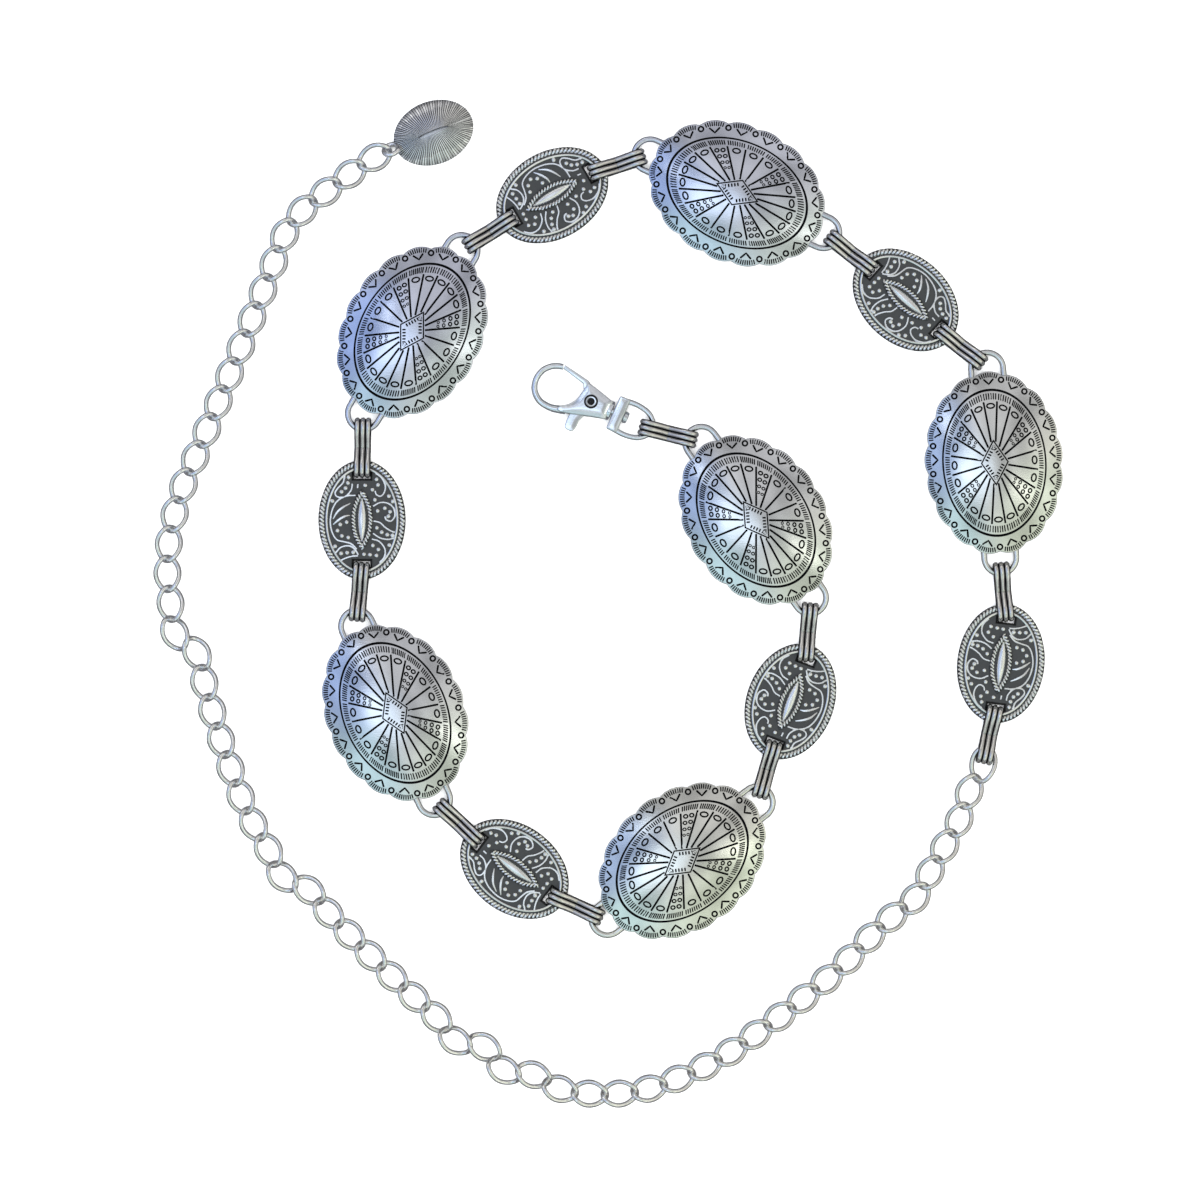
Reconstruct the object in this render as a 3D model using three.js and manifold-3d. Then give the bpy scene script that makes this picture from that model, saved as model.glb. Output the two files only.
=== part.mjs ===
// A chain belt lying face up: snap hook, large and small conchos joined by folded connectors, a twisted
// chain and an end drop. Millimetres, +Z up, the surface that the belt lies on is z = 0.
import * as THREE from "three";
import Module from "manifold-3d";
import { mergeVertices } from "three/addons/utils/BufferGeometryUtils.js";

const wasm = await Module();
wasm.setup();

// Sizes
const GAP = 0.3; // left between pieces that touch in life
const TINY = 0.1; // faces and edges smaller than this are merged
const PIN_Z = 1.95; // height of the wires that the connectors hold

const STRIP = { length: 15.3, width: 4.1, thick: 0.9, height: 4.5, waist: 2.1 };
const LARGE = { a: 22.9, b: 17.3, lobes: 17, notch: 0.8, under: 2.4, edge: 0.8, dome: 3.4, shell: 0.9 };
const LOOP = { half: 4.03, reach: 4.78, wire: 0.725, leg: 4.6 }; // reach: wire centre beyond the oval's end
const SMALL = { a: 15.0, b: 11.0, under: 1.25, rope: 1.7, field: 1.0 };
const SLOT = { rim: 2.75, long: 2.9, half: 2.9 }; // rim: from the small oval's end to the slot
const BOSS = { a: 7.25, b: 2.5, topA: 5.75, topB: 1.25, height: 2.1 };
const LINK = { a: 4.27, b: 2.96, wire: 0.6, pitch: 7.49, twist: 45 };
const DROP = { a: 10.25, b: 7.85, under: 0.4, edge: 1.2, dome: 2.4, ring: 1.9, wire: 0.6 };
const HOOK = { length: 31.6 }; // between the wire centres of its eye's bow and of the claw's far side
const SLACK = 1.15; // a connector's wire stands this much off the strip, as the wire curves away

// How the belt lies: the heading of each piece in degrees, in order from the hook.
const START = { x: 10.1, y: 44.2 }; // outer end of the first connector
const HOOK_HEADING = -24;
const BELT = [
  { piece: "connector", heading: -14 },
  { piece: "large", heading: -55 },
  { piece: "connector", heading: -95 },
  { piece: "small", heading: -111 },
  { piece: "connector", heading: -106 },
  { piece: "large", heading: -142 },
  { piece: "connector", heading: 156 },
  { piece: "small", heading: 143 },
  { piece: "connector", heading: 137 },
  { piece: "large", heading: 114 },
  { piece: "connector", heading: 85 },
  { piece: "small", heading: 90 },
  { piece: "connector", heading: 89 },
  { piece: "large", heading: 59 },
  { piece: "connector", heading: 32 },
  { piece: "small", heading: 30 },
  { piece: "connector", heading: 18 },
  { piece: "large", heading: -24, turned: true },
  { piece: "connector", heading: -38 },
  { piece: "small", heading: -42 },
  { piece: "connector", heading: -38 },
  { piece: "large", heading: -86 },
  { piece: "connector", heading: -85 },
  { piece: "small", heading: -97 },
  { piece: "connector", heading: -102 },
];
// The chain's heading at some of its links, straight between them, and the links that jog aside.
const LINKS = 59;
const CHAIN = [
  { link: 0, heading: -117 },
  { link: 4, heading: -120 },
  { link: 5, heading: -141 },
  { link: 7, heading: -134 },
  { link: 9, heading: -141 },
  { link: 12, heading: -145 },
  { link: 15, heading: -161 },
  { link: 18, heading: -189 },
  { link: 20, heading: -203 },
  { link: 24, heading: -222 },
  { link: 28, heading: -226 },
  { link: 32, heading: -240 },
  { link: 34, heading: -250 },
  { link: 38, heading: -256 },
  { link: 41, heading: -264 },
  { link: 43, heading: -281 },
  { link: 45, heading: -293 },
  { link: 49, heading: -292 },
  { link: 53, heading: -291 },
  { link: 55, heading: -321 },
  { link: 57, heading: -326 },
];
const JOGS = [
  { link: 1, turn: 8 },
  { link: 19, turn: -12 },
  { link: 20, turn: 14 },
  { link: 21, turn: -22 },
  { link: 22, turn: 20 },
  { link: 23, turn: -14 },
  { link: 30, turn: 26 },
  { link: 31, turn: -6 },
  { link: 39, turn: 36 },
];
const DROP_HEADING = 22;

// Geometry helpers
const V = (x, y, z) => new THREE.Vector3(x, y, z);
const rad = THREE.MathUtils.degToRad;
const unit = (deg) => new THREE.Vector2(Math.cos(rad(deg)), Math.sin(rad(deg)));
const wrap = (deg) => THREE.MathUtils.euclideanModulo(deg + 180, 360) - 180;

function solidOf(geometry) {
  const g = geometry.index ? geometry.toNonIndexed() : geometry.clone();
  g.deleteAttribute("normal");
  g.deleteAttribute("uv");
  const merged = mergeVertices(g, 1e-4);
  const made = (flip) => {
    const triVerts = new Uint32Array(merged.index.array);
    if (flip)
      for (let i = 0; i < triVerts.length; i += 3)
        [triVerts[i + 1], triVerts[i + 2]] = [triVerts[i + 2], triVerts[i + 1]];
    return new wasm.Manifold(
      new wasm.Mesh({ numProp: 3, vertProperties: merged.attributes.position.array, triVerts }),
    );
  };
  const first = made(false);
  return first.volume() < 0 ? made(true) : first;
}

// A skin over rings, each with as many points as the next or a whole part of them; one point closes an end.
function loft(rings, closed = false) {
  const points = rings.flat();
  const starts = [];
  let at = 0;
  for (const ring of rings) {
    starts.push(at);
    at += ring.length;
  }
  const index = [];
  const last = closed ? rings.length : rings.length - 1;
  for (let r = 0; r < last; r++) {
    const q = (r + 1) % rings.length;
    const n = Math.max(rings[r].length, rings[q].length);
    const p = (ring, i) => {
      const count = rings[ring].length;
      return starts[ring] + (Math.floor((i * count) / n + 0.5) % count);
    };
    for (let i = 0; i < n; i++) {
      const [a0, a1, b0, b1] = [p(r, i), p(r, i + 1), p(q, i), p(q, i + 1)];
      if (a0 !== a1) index.push(a0, a1, b0);
      if (b0 !== b1) index.push(a1, b1, b0);
    }
  }
  const g = new THREE.BufferGeometry().setFromPoints(points);
  g.setIndex(index);
  return g;
}

// A round wire along points that run more or less level.
function wire(points, radius, sides, closed = false) {
  const n = points.length;
  const rings = points.map((p, i) => {
    const before = points[closed ? (i - 1 + n) % n : Math.max(i - 1, 0)];
    const after = points[closed ? (i + 1) % n : Math.min(i + 1, n - 1)];
    const along = after.clone().sub(before).normalize();
    const side = along.clone().cross(V(0, 0, 1)).normalize();
    const up = side.clone().cross(along);
    return Array.from({ length: sides }, (_, k) => {
      const t = (2 * Math.PI * (k + 0.5)) / sides;
      return p.clone().addScaledVector(side, radius * Math.cos(t)).addScaledVector(up, radius * Math.sin(t));
    });
  });
  return loft(closed ? rings : [[points[0]], ...rings, [points[n - 1]]], closed);
}

function plate(outline, z0, z1, holes = []) {
  const shape = new THREE.Shape(outline.map(([x, y]) => new THREE.Vector2(x, y)));
  for (const hole of holes) shape.holes.push(new THREE.Path(hole.map(([x, y]) => new THREE.Vector2(x, y))));
  return new THREE.ExtrudeGeometry(shape, { depth: z1 - z0, bevelEnabled: false }).translate(0, 0, z0);
}

const circle = (x, y, r, n) =>
  Array.from({ length: n }, (_, i) => [
    x + r * Math.cos((2 * Math.PI * i) / n),
    y + r * Math.sin((2 * Math.PI * i) / n),
  ]);

// A round bar along x.
const barX = (x0, x1, z, r, n, rz = r) =>
  new THREE.CylinderGeometry(r, r, x1 - x0, n)
    .rotateZ(Math.PI / 2)
    .scale(1, 1, rz / r)
    .translate((x0 + x1) / 2, 0, z);

const ANTIQUED = { color: 0xb9bbb8, roughness: 0.3 };
const NICKEL = { color: 0xc9c8c4, roughness: 0.22 };

const root = new THREE.Group();
root.name = "chain_belt";
function add(name, solid, finish, at, heading) {
  const m = solid.asOriginal().simplify(TINY).getMesh();
  const v = new Float32Array(m.numVert * 3);
  for (let i = 0; i < m.numVert; i++)
    v.set(m.vertProperties.subarray(i * m.numProp, i * m.numProp + 3), i * 3);
  const g = new THREE.BufferGeometry()
    .setAttribute("position", new THREE.BufferAttribute(v, 3))
    .setIndex(new THREE.BufferAttribute(new Uint32Array(m.triVerts), 1));
  g.computeVertexNormals();
  const mesh = new THREE.Mesh(g, new THREE.MeshStandardMaterial({ ...finish, metalness: 1 }));
  mesh.name = name;
  if (at) mesh.position.set(at.x, at.y, 0);
  if (heading) mesh.rotation.z = rad(heading);
  root.add(mesh);
}
const placed = (at, heading) =>
  new THREE.Matrix4()
    .makeTranslation(at.x, at.y, 0)
    .multiply(new THREE.Matrix4().makeRotationZ(rad(heading)));

// The large concho's outline: lobes of equal length round an ellipse, a lobe on the -x end.
function scalloped({ a, b, lobes, notch }, perLobe) {
  const steps = 1440;
  const at = (t) => new THREE.Vector2(-a * Math.cos(t), -b * Math.sin(t));
  const lengths = [0];
  for (let i = 1; i <= steps; i++)
    lengths.push(
      lengths[i - 1] + at((2 * Math.PI * i) / steps).distanceTo(at((2 * Math.PI * (i - 1)) / steps)),
    );
  const total = lengths[steps];
  const outline = [];
  for (let k = 0; k < lobes * perLobe; k++) {
    const s = ((k + 0.5 * perLobe) / (lobes * perLobe)) % 1;
    let i = 1;
    while (lengths[i] < s * total) i++;
    const f = (s * total - lengths[i - 1]) / (lengths[i] - lengths[i - 1]);
    const t = (2 * Math.PI * (i - 1 + f)) / steps;
    const out = new THREE.Vector2(-Math.cos(t) / a, -Math.sin(t) / b).normalize();
    const inLobe = Math.abs(2 * ((k % perLobe) / perLobe) - 1);
    outline.push(at(t).addScaledVector(out, -notch * inLobe ** 2.2));
  }
  return outline;
}

function largeConcho() {
  const edge = scalloped(LARGE, 3);
  const ring = (scale, z) => edge.map((p) => V(p.x * scale, p.y * scale, z));
  const few = (scale, z) => ring(scale, z).filter((_, i) => i % 3 === 0);
  const rimTop = LARGE.under + LARGE.edge;
  const top = (rho) => rimTop + LARGE.dome * (1 - rho * rho);
  const dome = loft([
    [V(0, 0, top(0) - LARGE.shell)],
    few(0.92, LARGE.under),
    ring(1, LARGE.under),
    ring(1, rimTop),
    few(0.62, top(0.6)),
    [V(0, 0, top(0))],
  ]);
  let made = solidOf(dome);
  for (const end of [1, -1]) {
    const x0 = LARGE.a + LOOP.reach - LOOP.half;
    const path = [V(x0 - LOOP.leg, -LOOP.half, PIN_Z + 0.25)];
    for (let i = 0; i <= 4; i++) {
      const t = -Math.PI / 2 + (Math.PI * i) / 4;
      path.push(V(x0 + LOOP.half * Math.cos(t), LOOP.half * Math.sin(t), PIN_Z));
    }
    path.push(V(x0 - LOOP.leg, LOOP.half, PIN_Z + 0.25));
    const loop = wire(path, LOOP.wire, 5);
    if (end < 0) loop.rotateZ(Math.PI);
    made = made.add(solidOf(loop));
  }
  return made;
}

function smallConcho() {
  const n = 24;
  const ring = (inset, z) =>
    circle(0, 0, 1, n).map(([x, y]) => V(x * (SMALL.a - inset), y * (SMALL.b - inset), z));
  const { under, rope, field } = SMALL;
  const body = loft([
    [V(0, 0, under)],
    ring(0.3, under),
    ring(0, under + rope / 2),
    ring(rope / 2, under + rope),
    ring(rope, under + field),
    [V(0, 0, under + field + 0.2)],
  ]);
  let made = solidOf(body);
  for (const end of [1, -1]) {
    const middle = end * (SMALL.a - SLOT.rim - SLOT.long / 2);
    const [x0, x1, h] = [middle - SLOT.long / 2, middle + SLOT.long / 2, SLOT.half];
    made = made.subtract(solidOf(plate([[x0, -h], [x1, -h], [x1, h], [x0, h]], 0, 6)));
  }
  const eye = (a, b, z) =>
    circle(0, 0, 1, 8).map(([x, y]) => V(a * x, b * y * Math.sqrt(Math.max(1 - Math.abs(x) ** 3, 0.02)), z));
  const boss = loft([
    [V(0, 0, under + 0.4)],
    eye(BOSS.a, BOSS.b, under + 0.4),
    eye(BOSS.topA, BOSS.topB, under + BOSS.height - 0.1),
    [V(0, 0, under + BOSS.height)],
  ]);
  return made.add(solidOf(boss));
}

// The folded strip, seen from its side: two eyes with a pinched waist between them.
function connector() {
  const { length, thick: t, height: h, waist, width } = STRIP;
  const e = length / 2;
  const half = [
    [2.9, h - 0.6],
    [4.3, h],
    [e - 1.45, h],
    [e - 0.2, h - 1.2],
    [e, 1.5],
    [e - 1.4, 0],
  ];
  const mirror = (list) => list.map(([x, z]) => [-x, z]).reverse();
  const outline = [[0, waist], ...half, ...mirror(half)];
  const eye = [
    [1.3, t + 0.15],
    [2.2, t],
    [e - t - 0.6, t],
    [e - t, 1.6],
    [e - t - 0.2, h - t - 0.6],
    [e - t - 0.85, h - t],
    [4.4, h - t],
    [3.1, h - t - 0.6],
  ];
  return solidOf(
    plate(outline, -width / 2, width / 2, [eye, mirror(eye)]).rotateX(Math.PI / 2),
  );
}

// A twisted link: its two ends stand at right angles, so that the next link lies as flat as this one.
const CHAIN_Z = LINK.wire + 0.455 * LINK.b; // the twist lifts its sides by this much
function link({ twistIn = -LINK.twist, twistOut = LINK.twist, lift = 0, side = 10 }) {
  const path = Array.from({ length: side }, (_, i) => {
    const t = (2 * Math.PI * (i + 0.5)) / side;
    const x = LINK.a * Math.cos(t);
    const y = LINK.b * Math.sign(Math.sin(t)) * Math.abs(Math.sin(t)) ** 0.85;
    const along = (x / LINK.a + 1) / 2;
    const turn = rad(twistIn + (twistOut - twistIn) * along);
    return V(x, y * Math.cos(turn), CHAIN_Z + y * Math.sin(turn) + lift * (1 - along));
  });
  return wire(path, LINK.wire, 5, true);
}

// Where each piece lies. A wire loop is held at the point of its arc that faces the connector.
function held(kind, at, heading, toward, sign) {
  const out = unit(heading).multiplyScalar(sign);
  const slot = SMALL.a - SLOT.rim - SLOT.long / 2;
  if (kind === "small") return at.clone().addScaledVector(out, slot - STRIP.thick / 2);
  const turn = THREE.MathUtils.clamp(0.92 * wrap(toward - heading), -60, 60);
  const arc = LARGE.a + LOOP.reach - LOOP.half;
  return at
    .clone()
    .addScaledVector(out, arc)
    .addScaledVector(unit(heading + turn), sign * LOOP.half)
    .addScaledVector(unit(toward), -sign * (STRIP.thick + GAP + LOOP.wire + SLACK));
}

const counts = { connector: 0, large: 0, small: 0 };
const names = { connector: "connector_", large: "concho_", small: "small_concho_" };
const shapes = { connector: connector(), large: largeConcho(), small: smallConcho() };
let end = new THREE.Vector2(START.x, START.y);
for (let i = 0; i < BELT.length; i++) {
  const { piece, heading, turned } = BELT[i];
  let centre;
  if (piece === "connector") {
    centre = end.clone().addScaledVector(unit(heading), STRIP.length / 2);
    end = end.clone().addScaledVector(unit(heading), STRIP.length);
  } else {
    const before = held(piece, new THREE.Vector2(), heading, BELT[i - 1].heading, -1);
    centre = end.clone().sub(before);
    end = held(piece, centre, heading, BELT[i + 1].heading, 1);
  }
  counts[piece] += 1;
  add(names[piece] + counts[piece], shapes[piece], ANTIQUED, centre, heading + (turned ? 180 : 0));
}

// The chain, walked link by link from the last connector.
const bearing = (i) => {
  let k = 1;
  while (k < CHAIN.length - 1 && CHAIN[k].link < i) k++;
  const f = THREE.MathUtils.clamp((i - CHAIN[k - 1].link) / (CHAIN[k].link - CHAIN[k - 1].link), 0, 1);
  const jog = JOGS.find((j) => j.link === i);
  return THREE.MathUtils.lerp(CHAIN[k - 1].heading, CHAIN[k].heading, f) + (jog ? jog.turn : 0);
};
const lastHeading = BELT[BELT.length - 1].heading;
let spot = end
  .clone()
  .addScaledVector(unit(lastHeading), -(STRIP.thick + GAP + LINK.wire + 2.1 * SLACK))
  .addScaledVector(unit(lastHeading), LINK.a);
let chain = null;
let turnOut = 0;
for (let i = 0; i < LINKS; i++) {
  const into = i ? bearing(i - 1) : lastHeading;
  const out = i < LINKS - 1 ? bearing(i) : DROP_HEADING;
  turnOut = into + (i ? wrap(out - into) / 2 : 0);
  const g = link(i ? {} : { twistIn: -12, lift: 0.5 }).applyMatrix4(placed(spot, turnOut));
  const s = solidOf(g);
  chain = chain ? chain.add(s) : s;
  if (i < LINKS - 1) spot = spot.clone().addScaledVector(unit(out), LINK.pitch);
}
add("chain", chain, ANTIQUED);

// The end drop with its soldered ring, which hangs in the last link.
{
  const n = 24;
  const { a, b, under, edge, dome } = DROP;
  const ring = (scale, z) => circle(0, 0, scale, n).map(([x, y]) => V(a * x, b * y, z));
  const oval = loft([
    [V(0, 0, under + edge + dome - 1)],
    ring(0.88, under),
    ring(1, under),
    ring(1, under + edge - 0.3),
    ring(0.72, under + edge + dome * 0.55),
    [V(0, 0, under + edge + dome)],
  ]);
  const ringX = -a - DROP.ring + 0.75;
  const hoop = Array.from({ length: 10 }, (_, i) => {
    const t = (2 * Math.PI * (i + 0.5)) / 10;
    const y = DROP.ring * Math.sin(t);
    const z = CHAIN_Z + 0.15 + y * Math.sin(rad(-45));
    return V(ringX + DROP.ring * Math.cos(t), y * Math.cos(rad(-45)), z);
  });
  const made = solidOf(oval).add(solidOf(wire(hoop, DROP.wire, 5, true)));
  const hangs = spot
    .clone()
    .addScaledVector(unit(turnOut), LINK.a - LINK.wire - DROP.wire - GAP)
    .addScaledVector(unit(DROP_HEADING), DROP.ring - ringX);
  add("end_drop", made, ANTIQUED, hangs, DROP_HEADING);
}

// The snap hook, in a frame whose x runs from the swivel eye's bar to the tip of the hook. Its outlines
// are drawn for a hook 31.6 long and then scaled to the length that it has.
{
  const size = HOOK.length / 31.6;
  const pinZ = 1.95;
  const H = 2 * pinZ;
  const eyeTip = 9.3;
  const bowWire = 0.6;
  const origin = new THREE.Vector2(START.x, START.y)
    .addScaledVector(unit(BELT[0].heading), STRIP.thick + GAP + bowWire * size + 1.55 * SLACK)
    .addScaledVector(unit(HOOK_HEADING), -eyeTip * size);
  const turned = HOOK_HEADING + 180;
  const level = (list) => list.map(([x, y]) => V(x, y, pinZ));
  const addScaled = (name, solid) => add(name, solid.scale(size), NICKEL, origin, turned);

  const arm = [
    [-0.4, 4.0],
    [-3.4, 4.05],
    [-6.6, 3.6],
    [-8.5, 2.4],
    [-eyeTip, 0.9],
  ];
  const bow = [...arm, ...arm.map(([x, y]) => [x, -y]).reverse()];
  const bar = plate([[-1.15, -4.5], [1.15, -4.5], [1.15, 4.5], [-1.15, 4.5]], 0.35, H - 0.35);
  addScaled(
    "swivel_eye",
    solidOf(bar).add(solidOf(wire(level(bow), bowWire, 6))).subtract(solidOf(barX(-2, 2, pinZ, 1.1, 10))),
  );

  const cheeks = [
    [2.4, -2.2],
    [10.1, -3.8],
    [10.5, -1.8],
    [10.9, 1.0],
    [12.7, 3.4],
    [14.2, 4.2],
    [13.6, 5.4],
    [9.5, 4.1],
    [2.4, 2.2],
  ];
  const claw = [
    [13.0, 4.6],
    [16.2, 5.3],
    [19.5, 5.0],
    [21.7, 3.1],
    [22.3, 0.0],
    [21.5, -2.8],
    [19.7, -4.4],
    [17.7, -4.8],
  ];
  const pivot = [7.5, -0.1];
  let body = solidOf(plate(cheeks, 0, H));
  body = body.subtract(solidOf(plate([[4.4, -6], [11.8, -6], [11.8, 7], [4.4, 7]], pinZ - 0.8, pinZ + 0.8)));
  body = body
    .add(solidOf(wire(level(claw), 0.75, 8)))
    .add(solidOf(barX(1.8, 2.8, pinZ, 2.45, 14, 1.9)))
    .add(solidOf(barX(-1.6, 2.2, pinZ, 0.8, 8)))
    .add(solidOf(barX(-2.6, -1.45, pinZ, 1.5, 10)))
    .add(solidOf(plate(circle(...pivot, 0.9, 10), 0.6, H - 0.2)))
    .add(solidOf(plate(circle(...pivot, 1.7, 14), H - 0.3, H + 0.35)))
    .subtract(solidOf(plate(circle(...pivot, 0.7, 10), H - 0.4, H + 1)));
  addScaled("hook_body", body);

  const lever = [
    [5.3, -0.6],
    [6.4, -2.2],
    [9.2, -4.1],
    [10.2, -4.6],
    [17.2, -5.4],
    [16.7, -4.3],
    [11.3, -3.3],
    [9.9, -1.2],
    [9.6, 0.8],
    [11.2, 3.9],
    [11.2, 8.8],
    [8.5, 8.8],
    [8.3, 4.6],
    [6.2, 1.9],
    [5.4, 0.8],
  ];
  addScaled("gate", solidOf(plate(lever, pinZ - 0.5, pinZ + 0.5, [circle(...pivot, 1.2, 12).reverse()])));
}

// The frame's origin is under the middle of the whole.
const middle = new THREE.Box3().setFromObject(root, true).getCenter(V(0, 0, 0));
for (const mesh of root.children) mesh.position.sub(V(middle.x, middle.y, 0));

export default root;
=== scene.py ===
# %% [markdown]
# # A chain belt of stamped silver conchos
# The belt lies face up in a spiral on a pale table: a snap hook, six large and six small oval conchos
# joined by folded connectors, a twisted chain and an end drop. The solid model already says where each
# piece lies, so this lesson builds the fine surfaces in those same places.

# %% Load the solid model as a fixed frame
import math

import bpy
import numpy as np
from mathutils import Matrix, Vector
from mathutils.geometry import delaunay_2d_cdt


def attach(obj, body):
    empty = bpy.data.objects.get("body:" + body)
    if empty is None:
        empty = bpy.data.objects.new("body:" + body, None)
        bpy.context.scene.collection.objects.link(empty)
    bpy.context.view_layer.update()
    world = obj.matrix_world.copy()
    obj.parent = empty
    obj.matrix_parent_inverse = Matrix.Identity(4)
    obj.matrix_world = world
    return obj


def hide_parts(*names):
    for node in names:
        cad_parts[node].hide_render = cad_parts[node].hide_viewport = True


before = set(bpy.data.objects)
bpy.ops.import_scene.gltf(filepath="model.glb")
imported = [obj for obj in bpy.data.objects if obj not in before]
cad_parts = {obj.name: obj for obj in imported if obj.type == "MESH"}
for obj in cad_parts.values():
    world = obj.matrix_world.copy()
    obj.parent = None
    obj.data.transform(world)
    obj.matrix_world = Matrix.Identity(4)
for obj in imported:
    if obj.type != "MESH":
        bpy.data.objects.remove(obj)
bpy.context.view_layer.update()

MM = 0.001

# %% [markdown]
# ## The camera
# The photo looks straight down on the belt. A long lens from far away keeps the ovals at the edge of the
# picture from leaning, so a lens of 180 mm at a metre and a half is used, which takes in 300 mm.

# %% The camera
MIDDLE = (-2.01, 0.88)  # the point on the table under the middle of the picture, in mm
SENSOR, LENS = 36, 180
CAMERA_HEIGHT = 1.5
camera = bpy.data.objects.new("camera", bpy.data.cameras.new("overhead"))
camera.data.sensor_width = SENSOR
camera.data.lens = LENS
camera.location = (MIDDLE[0] * MM, MIDDLE[1] * MM, CAMERA_HEIGHT)
bpy.context.scene.collection.objects.link(camera)
bpy.context.scene.camera = camera
print("camera takes in", CAMERA_HEIGHT * SENSOR / LENS / MM, "mm")

# %% [markdown]
# ## The table
# Polished metal shows little of its own: it shows the room. A white table would wash out the sides of
# every wire, so the table is white to the camera and dark grey to reflections. The material asks which
# kind of ray has met it and answers with one of two shaders.

# %% The table
def table_top(half):
    mesh = bpy.data.meshes.new("table")
    corners = [(-half, -half, 0), (half, -half, 0), (half, half, 0), (-half, half, 0)]
    mesh.from_pydata(corners, [], [(0, 1, 2, 3)])
    top = bpy.data.objects.new("table", mesh)
    bpy.context.scene.collection.objects.link(top)
    paint = bpy.data.materials.new("white_table")
    paint.use_nodes = True
    nodes, links = paint.node_tree.nodes, paint.node_tree.links
    shader = nodes["Principled BSDF"]
    shader.inputs["Base Color"].default_value = (0.93, 0.93, 0.93, 1)
    shader.inputs["Roughness"].default_value = 0.9
    mirrored = nodes.new("ShaderNodeEmission")
    mirrored.inputs["Color"].default_value = (0.2, 0.2, 0.21, 1)
    ray = nodes.new("ShaderNodeLightPath")
    either = nodes.new("ShaderNodeMixShader")
    links.new(ray.outputs["Is Glossy Ray"], either.inputs[0])
    links.new(shader.outputs[0], either.inputs[1])
    links.new(mirrored.outputs[0], either.inputs[2])
    links.new(either.outputs[0], nodes["Material Output"].inputs["Surface"])
    mesh.materials.append(paint)
    return top


TABLE_HALF = 3.0
table_top(TABLE_HALF)
print("table:", 2 * TABLE_HALF, "m wide")

# %% [markdown]
# ## Lamps
# In a product photo a wide panel lights the table evenly and small lamps make sparks on the metal. The
# panel here isn't seen in reflections, because it would turn every dome white.


# %% Lamps
def lamp(name, place, size, power, colour):
    light = bpy.data.lights.new(name, "AREA")
    light.shape = "RECTANGLE"
    light.size, light.size_y = size
    light.energy = power
    light.color = colour
    obj = bpy.data.objects.new(name, light)
    obj.location = place
    obj.rotation_euler = (-Vector(place)).to_track_quat("-Z", "Y").to_euler()
    bpy.context.scene.collection.objects.link(obj)
    return obj


wash = lamp("table_wash", (0.0, 0.0, 2.0), (3.0, 3.0), 115, (1.0, 1.0, 1.0))
wash.visible_glossy = False
lamp("left_spark", (-0.35, 0.3, 0.9), (0.12, 0.12), 0.05, (0.9, 0.96, 1.0))
lamp("right_spark", (0.4, -0.1, 0.8), (0.1, 0.2), 0.06, (1.0, 0.98, 0.9))


# %% [markdown]
# ## Helpers for nodes
# The world and the finishes are built of the same few nodes. Each helper adds one, joins it to what it is
# given and returns its result, so that a network reads like a formula.


# %% Node helpers
def feed(tree, socket, value):
    """Joins a socket to another, or sets it to a plain value."""
    if isinstance(value, bpy.types.NodeSocket):
        tree.links.new(value, socket)
    else:
        socket.default_value = value


def math_node(tree, operation, first, second):
    node = tree.nodes.new("ShaderNodeMath")
    node.operation = operation
    feed(tree, node.inputs[0], first)
    feed(tree, node.inputs[1], second)
    return node.outputs[0]


def mix_colours(tree, share, first, second, blend="MIX"):
    node = tree.nodes.new("ShaderNodeMix")
    node.data_type = "RGBA"
    node.blend_type = blend
    for number, value in ((0, share), (6, first), (7, second)):
        feed(tree, node.inputs[number], value)
    return node.outputs[2]


def along(tree, where, towards):
    """How far a place or a direction lies towards a vector."""
    node = tree.nodes.new("ShaderNodeVectorMath")
    node.operation = "DOT_PRODUCT"
    node.inputs[1].default_value = towards
    tree.links.new(where, node.inputs[0])
    return node.outputs["Value"]


def ramp(tree, value, low, high, result=(0.0, 1.0), kind="LINEAR"):
    """Goes from the first result to the second while the value goes from low to high."""
    node = tree.nodes.new("ShaderNodeMapRange")
    node.interpolation_type = kind
    for label, number in zip(("From Min", "From Max", "To Min", "To Max"), (low, high, *result)):
        node.inputs[label].default_value = number
    tree.links.new(value, node.inputs["Value"])
    return node.outputs[0]


print("node helpers:", [f.__name__ for f in (feed, math_node, mix_colours, along, ramp)])

# %% [markdown]
# ## The room
# What the metal shows is drawn in the world by direction. The horizon is dark, which outlines each wire.
# Above it a bright ring lights the flanks of wires and beads, and the ceiling is a calm grey for the
# domes. Soft cards colour it, blue and teal on the left and cream on the right, and a large noise makes
# it uneven as a real room is.

# %% The room, drawn by direction
HORIZON = (0.06, 0.06, 0.08, 1)
ROOM = [
    # towards, reach of the card in degrees, where it has faded out, colour
    ((0.0, 0.0, 1.0), 62, 76, (1.25, 1.25, 1.22)),
    ((0.0, 0.0, 1.0), 38, 54, (0.62, 0.62, 0.63)),
    ((-0.9, 0.1, 0.5), 10, 45, (0.5, 0.55, 0.68)),
    ((0.85, 0.1, 0.55), 10, 42, (0.74, 0.73, 0.66)),
    ((0.25, 0.6, 0.75), 8, 38, (0.54, 0.53, 0.54)),
    ((-0.1, -0.75, 0.66), 8, 36, (0.6, 0.7, 0.68)),
    ((0.5, -0.4, 0.78), 6, 34, (0.76, 0.82, 0.7)),
    ((-0.42, -0.4, 0.8), 4, 28, (0.52, 0.7, 0.76)),
    ((-0.52, 0.12, 0.85), 6, 27, (0.4, 0.52, 0.82)),
    ((-0.15, -0.04, 0.98), 3, 15, (1.05, 1.2, 1.4)),
]
PANEL_SCALE = 4.5
PANEL_CONTRAST = (0.62, 1.34)


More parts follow.
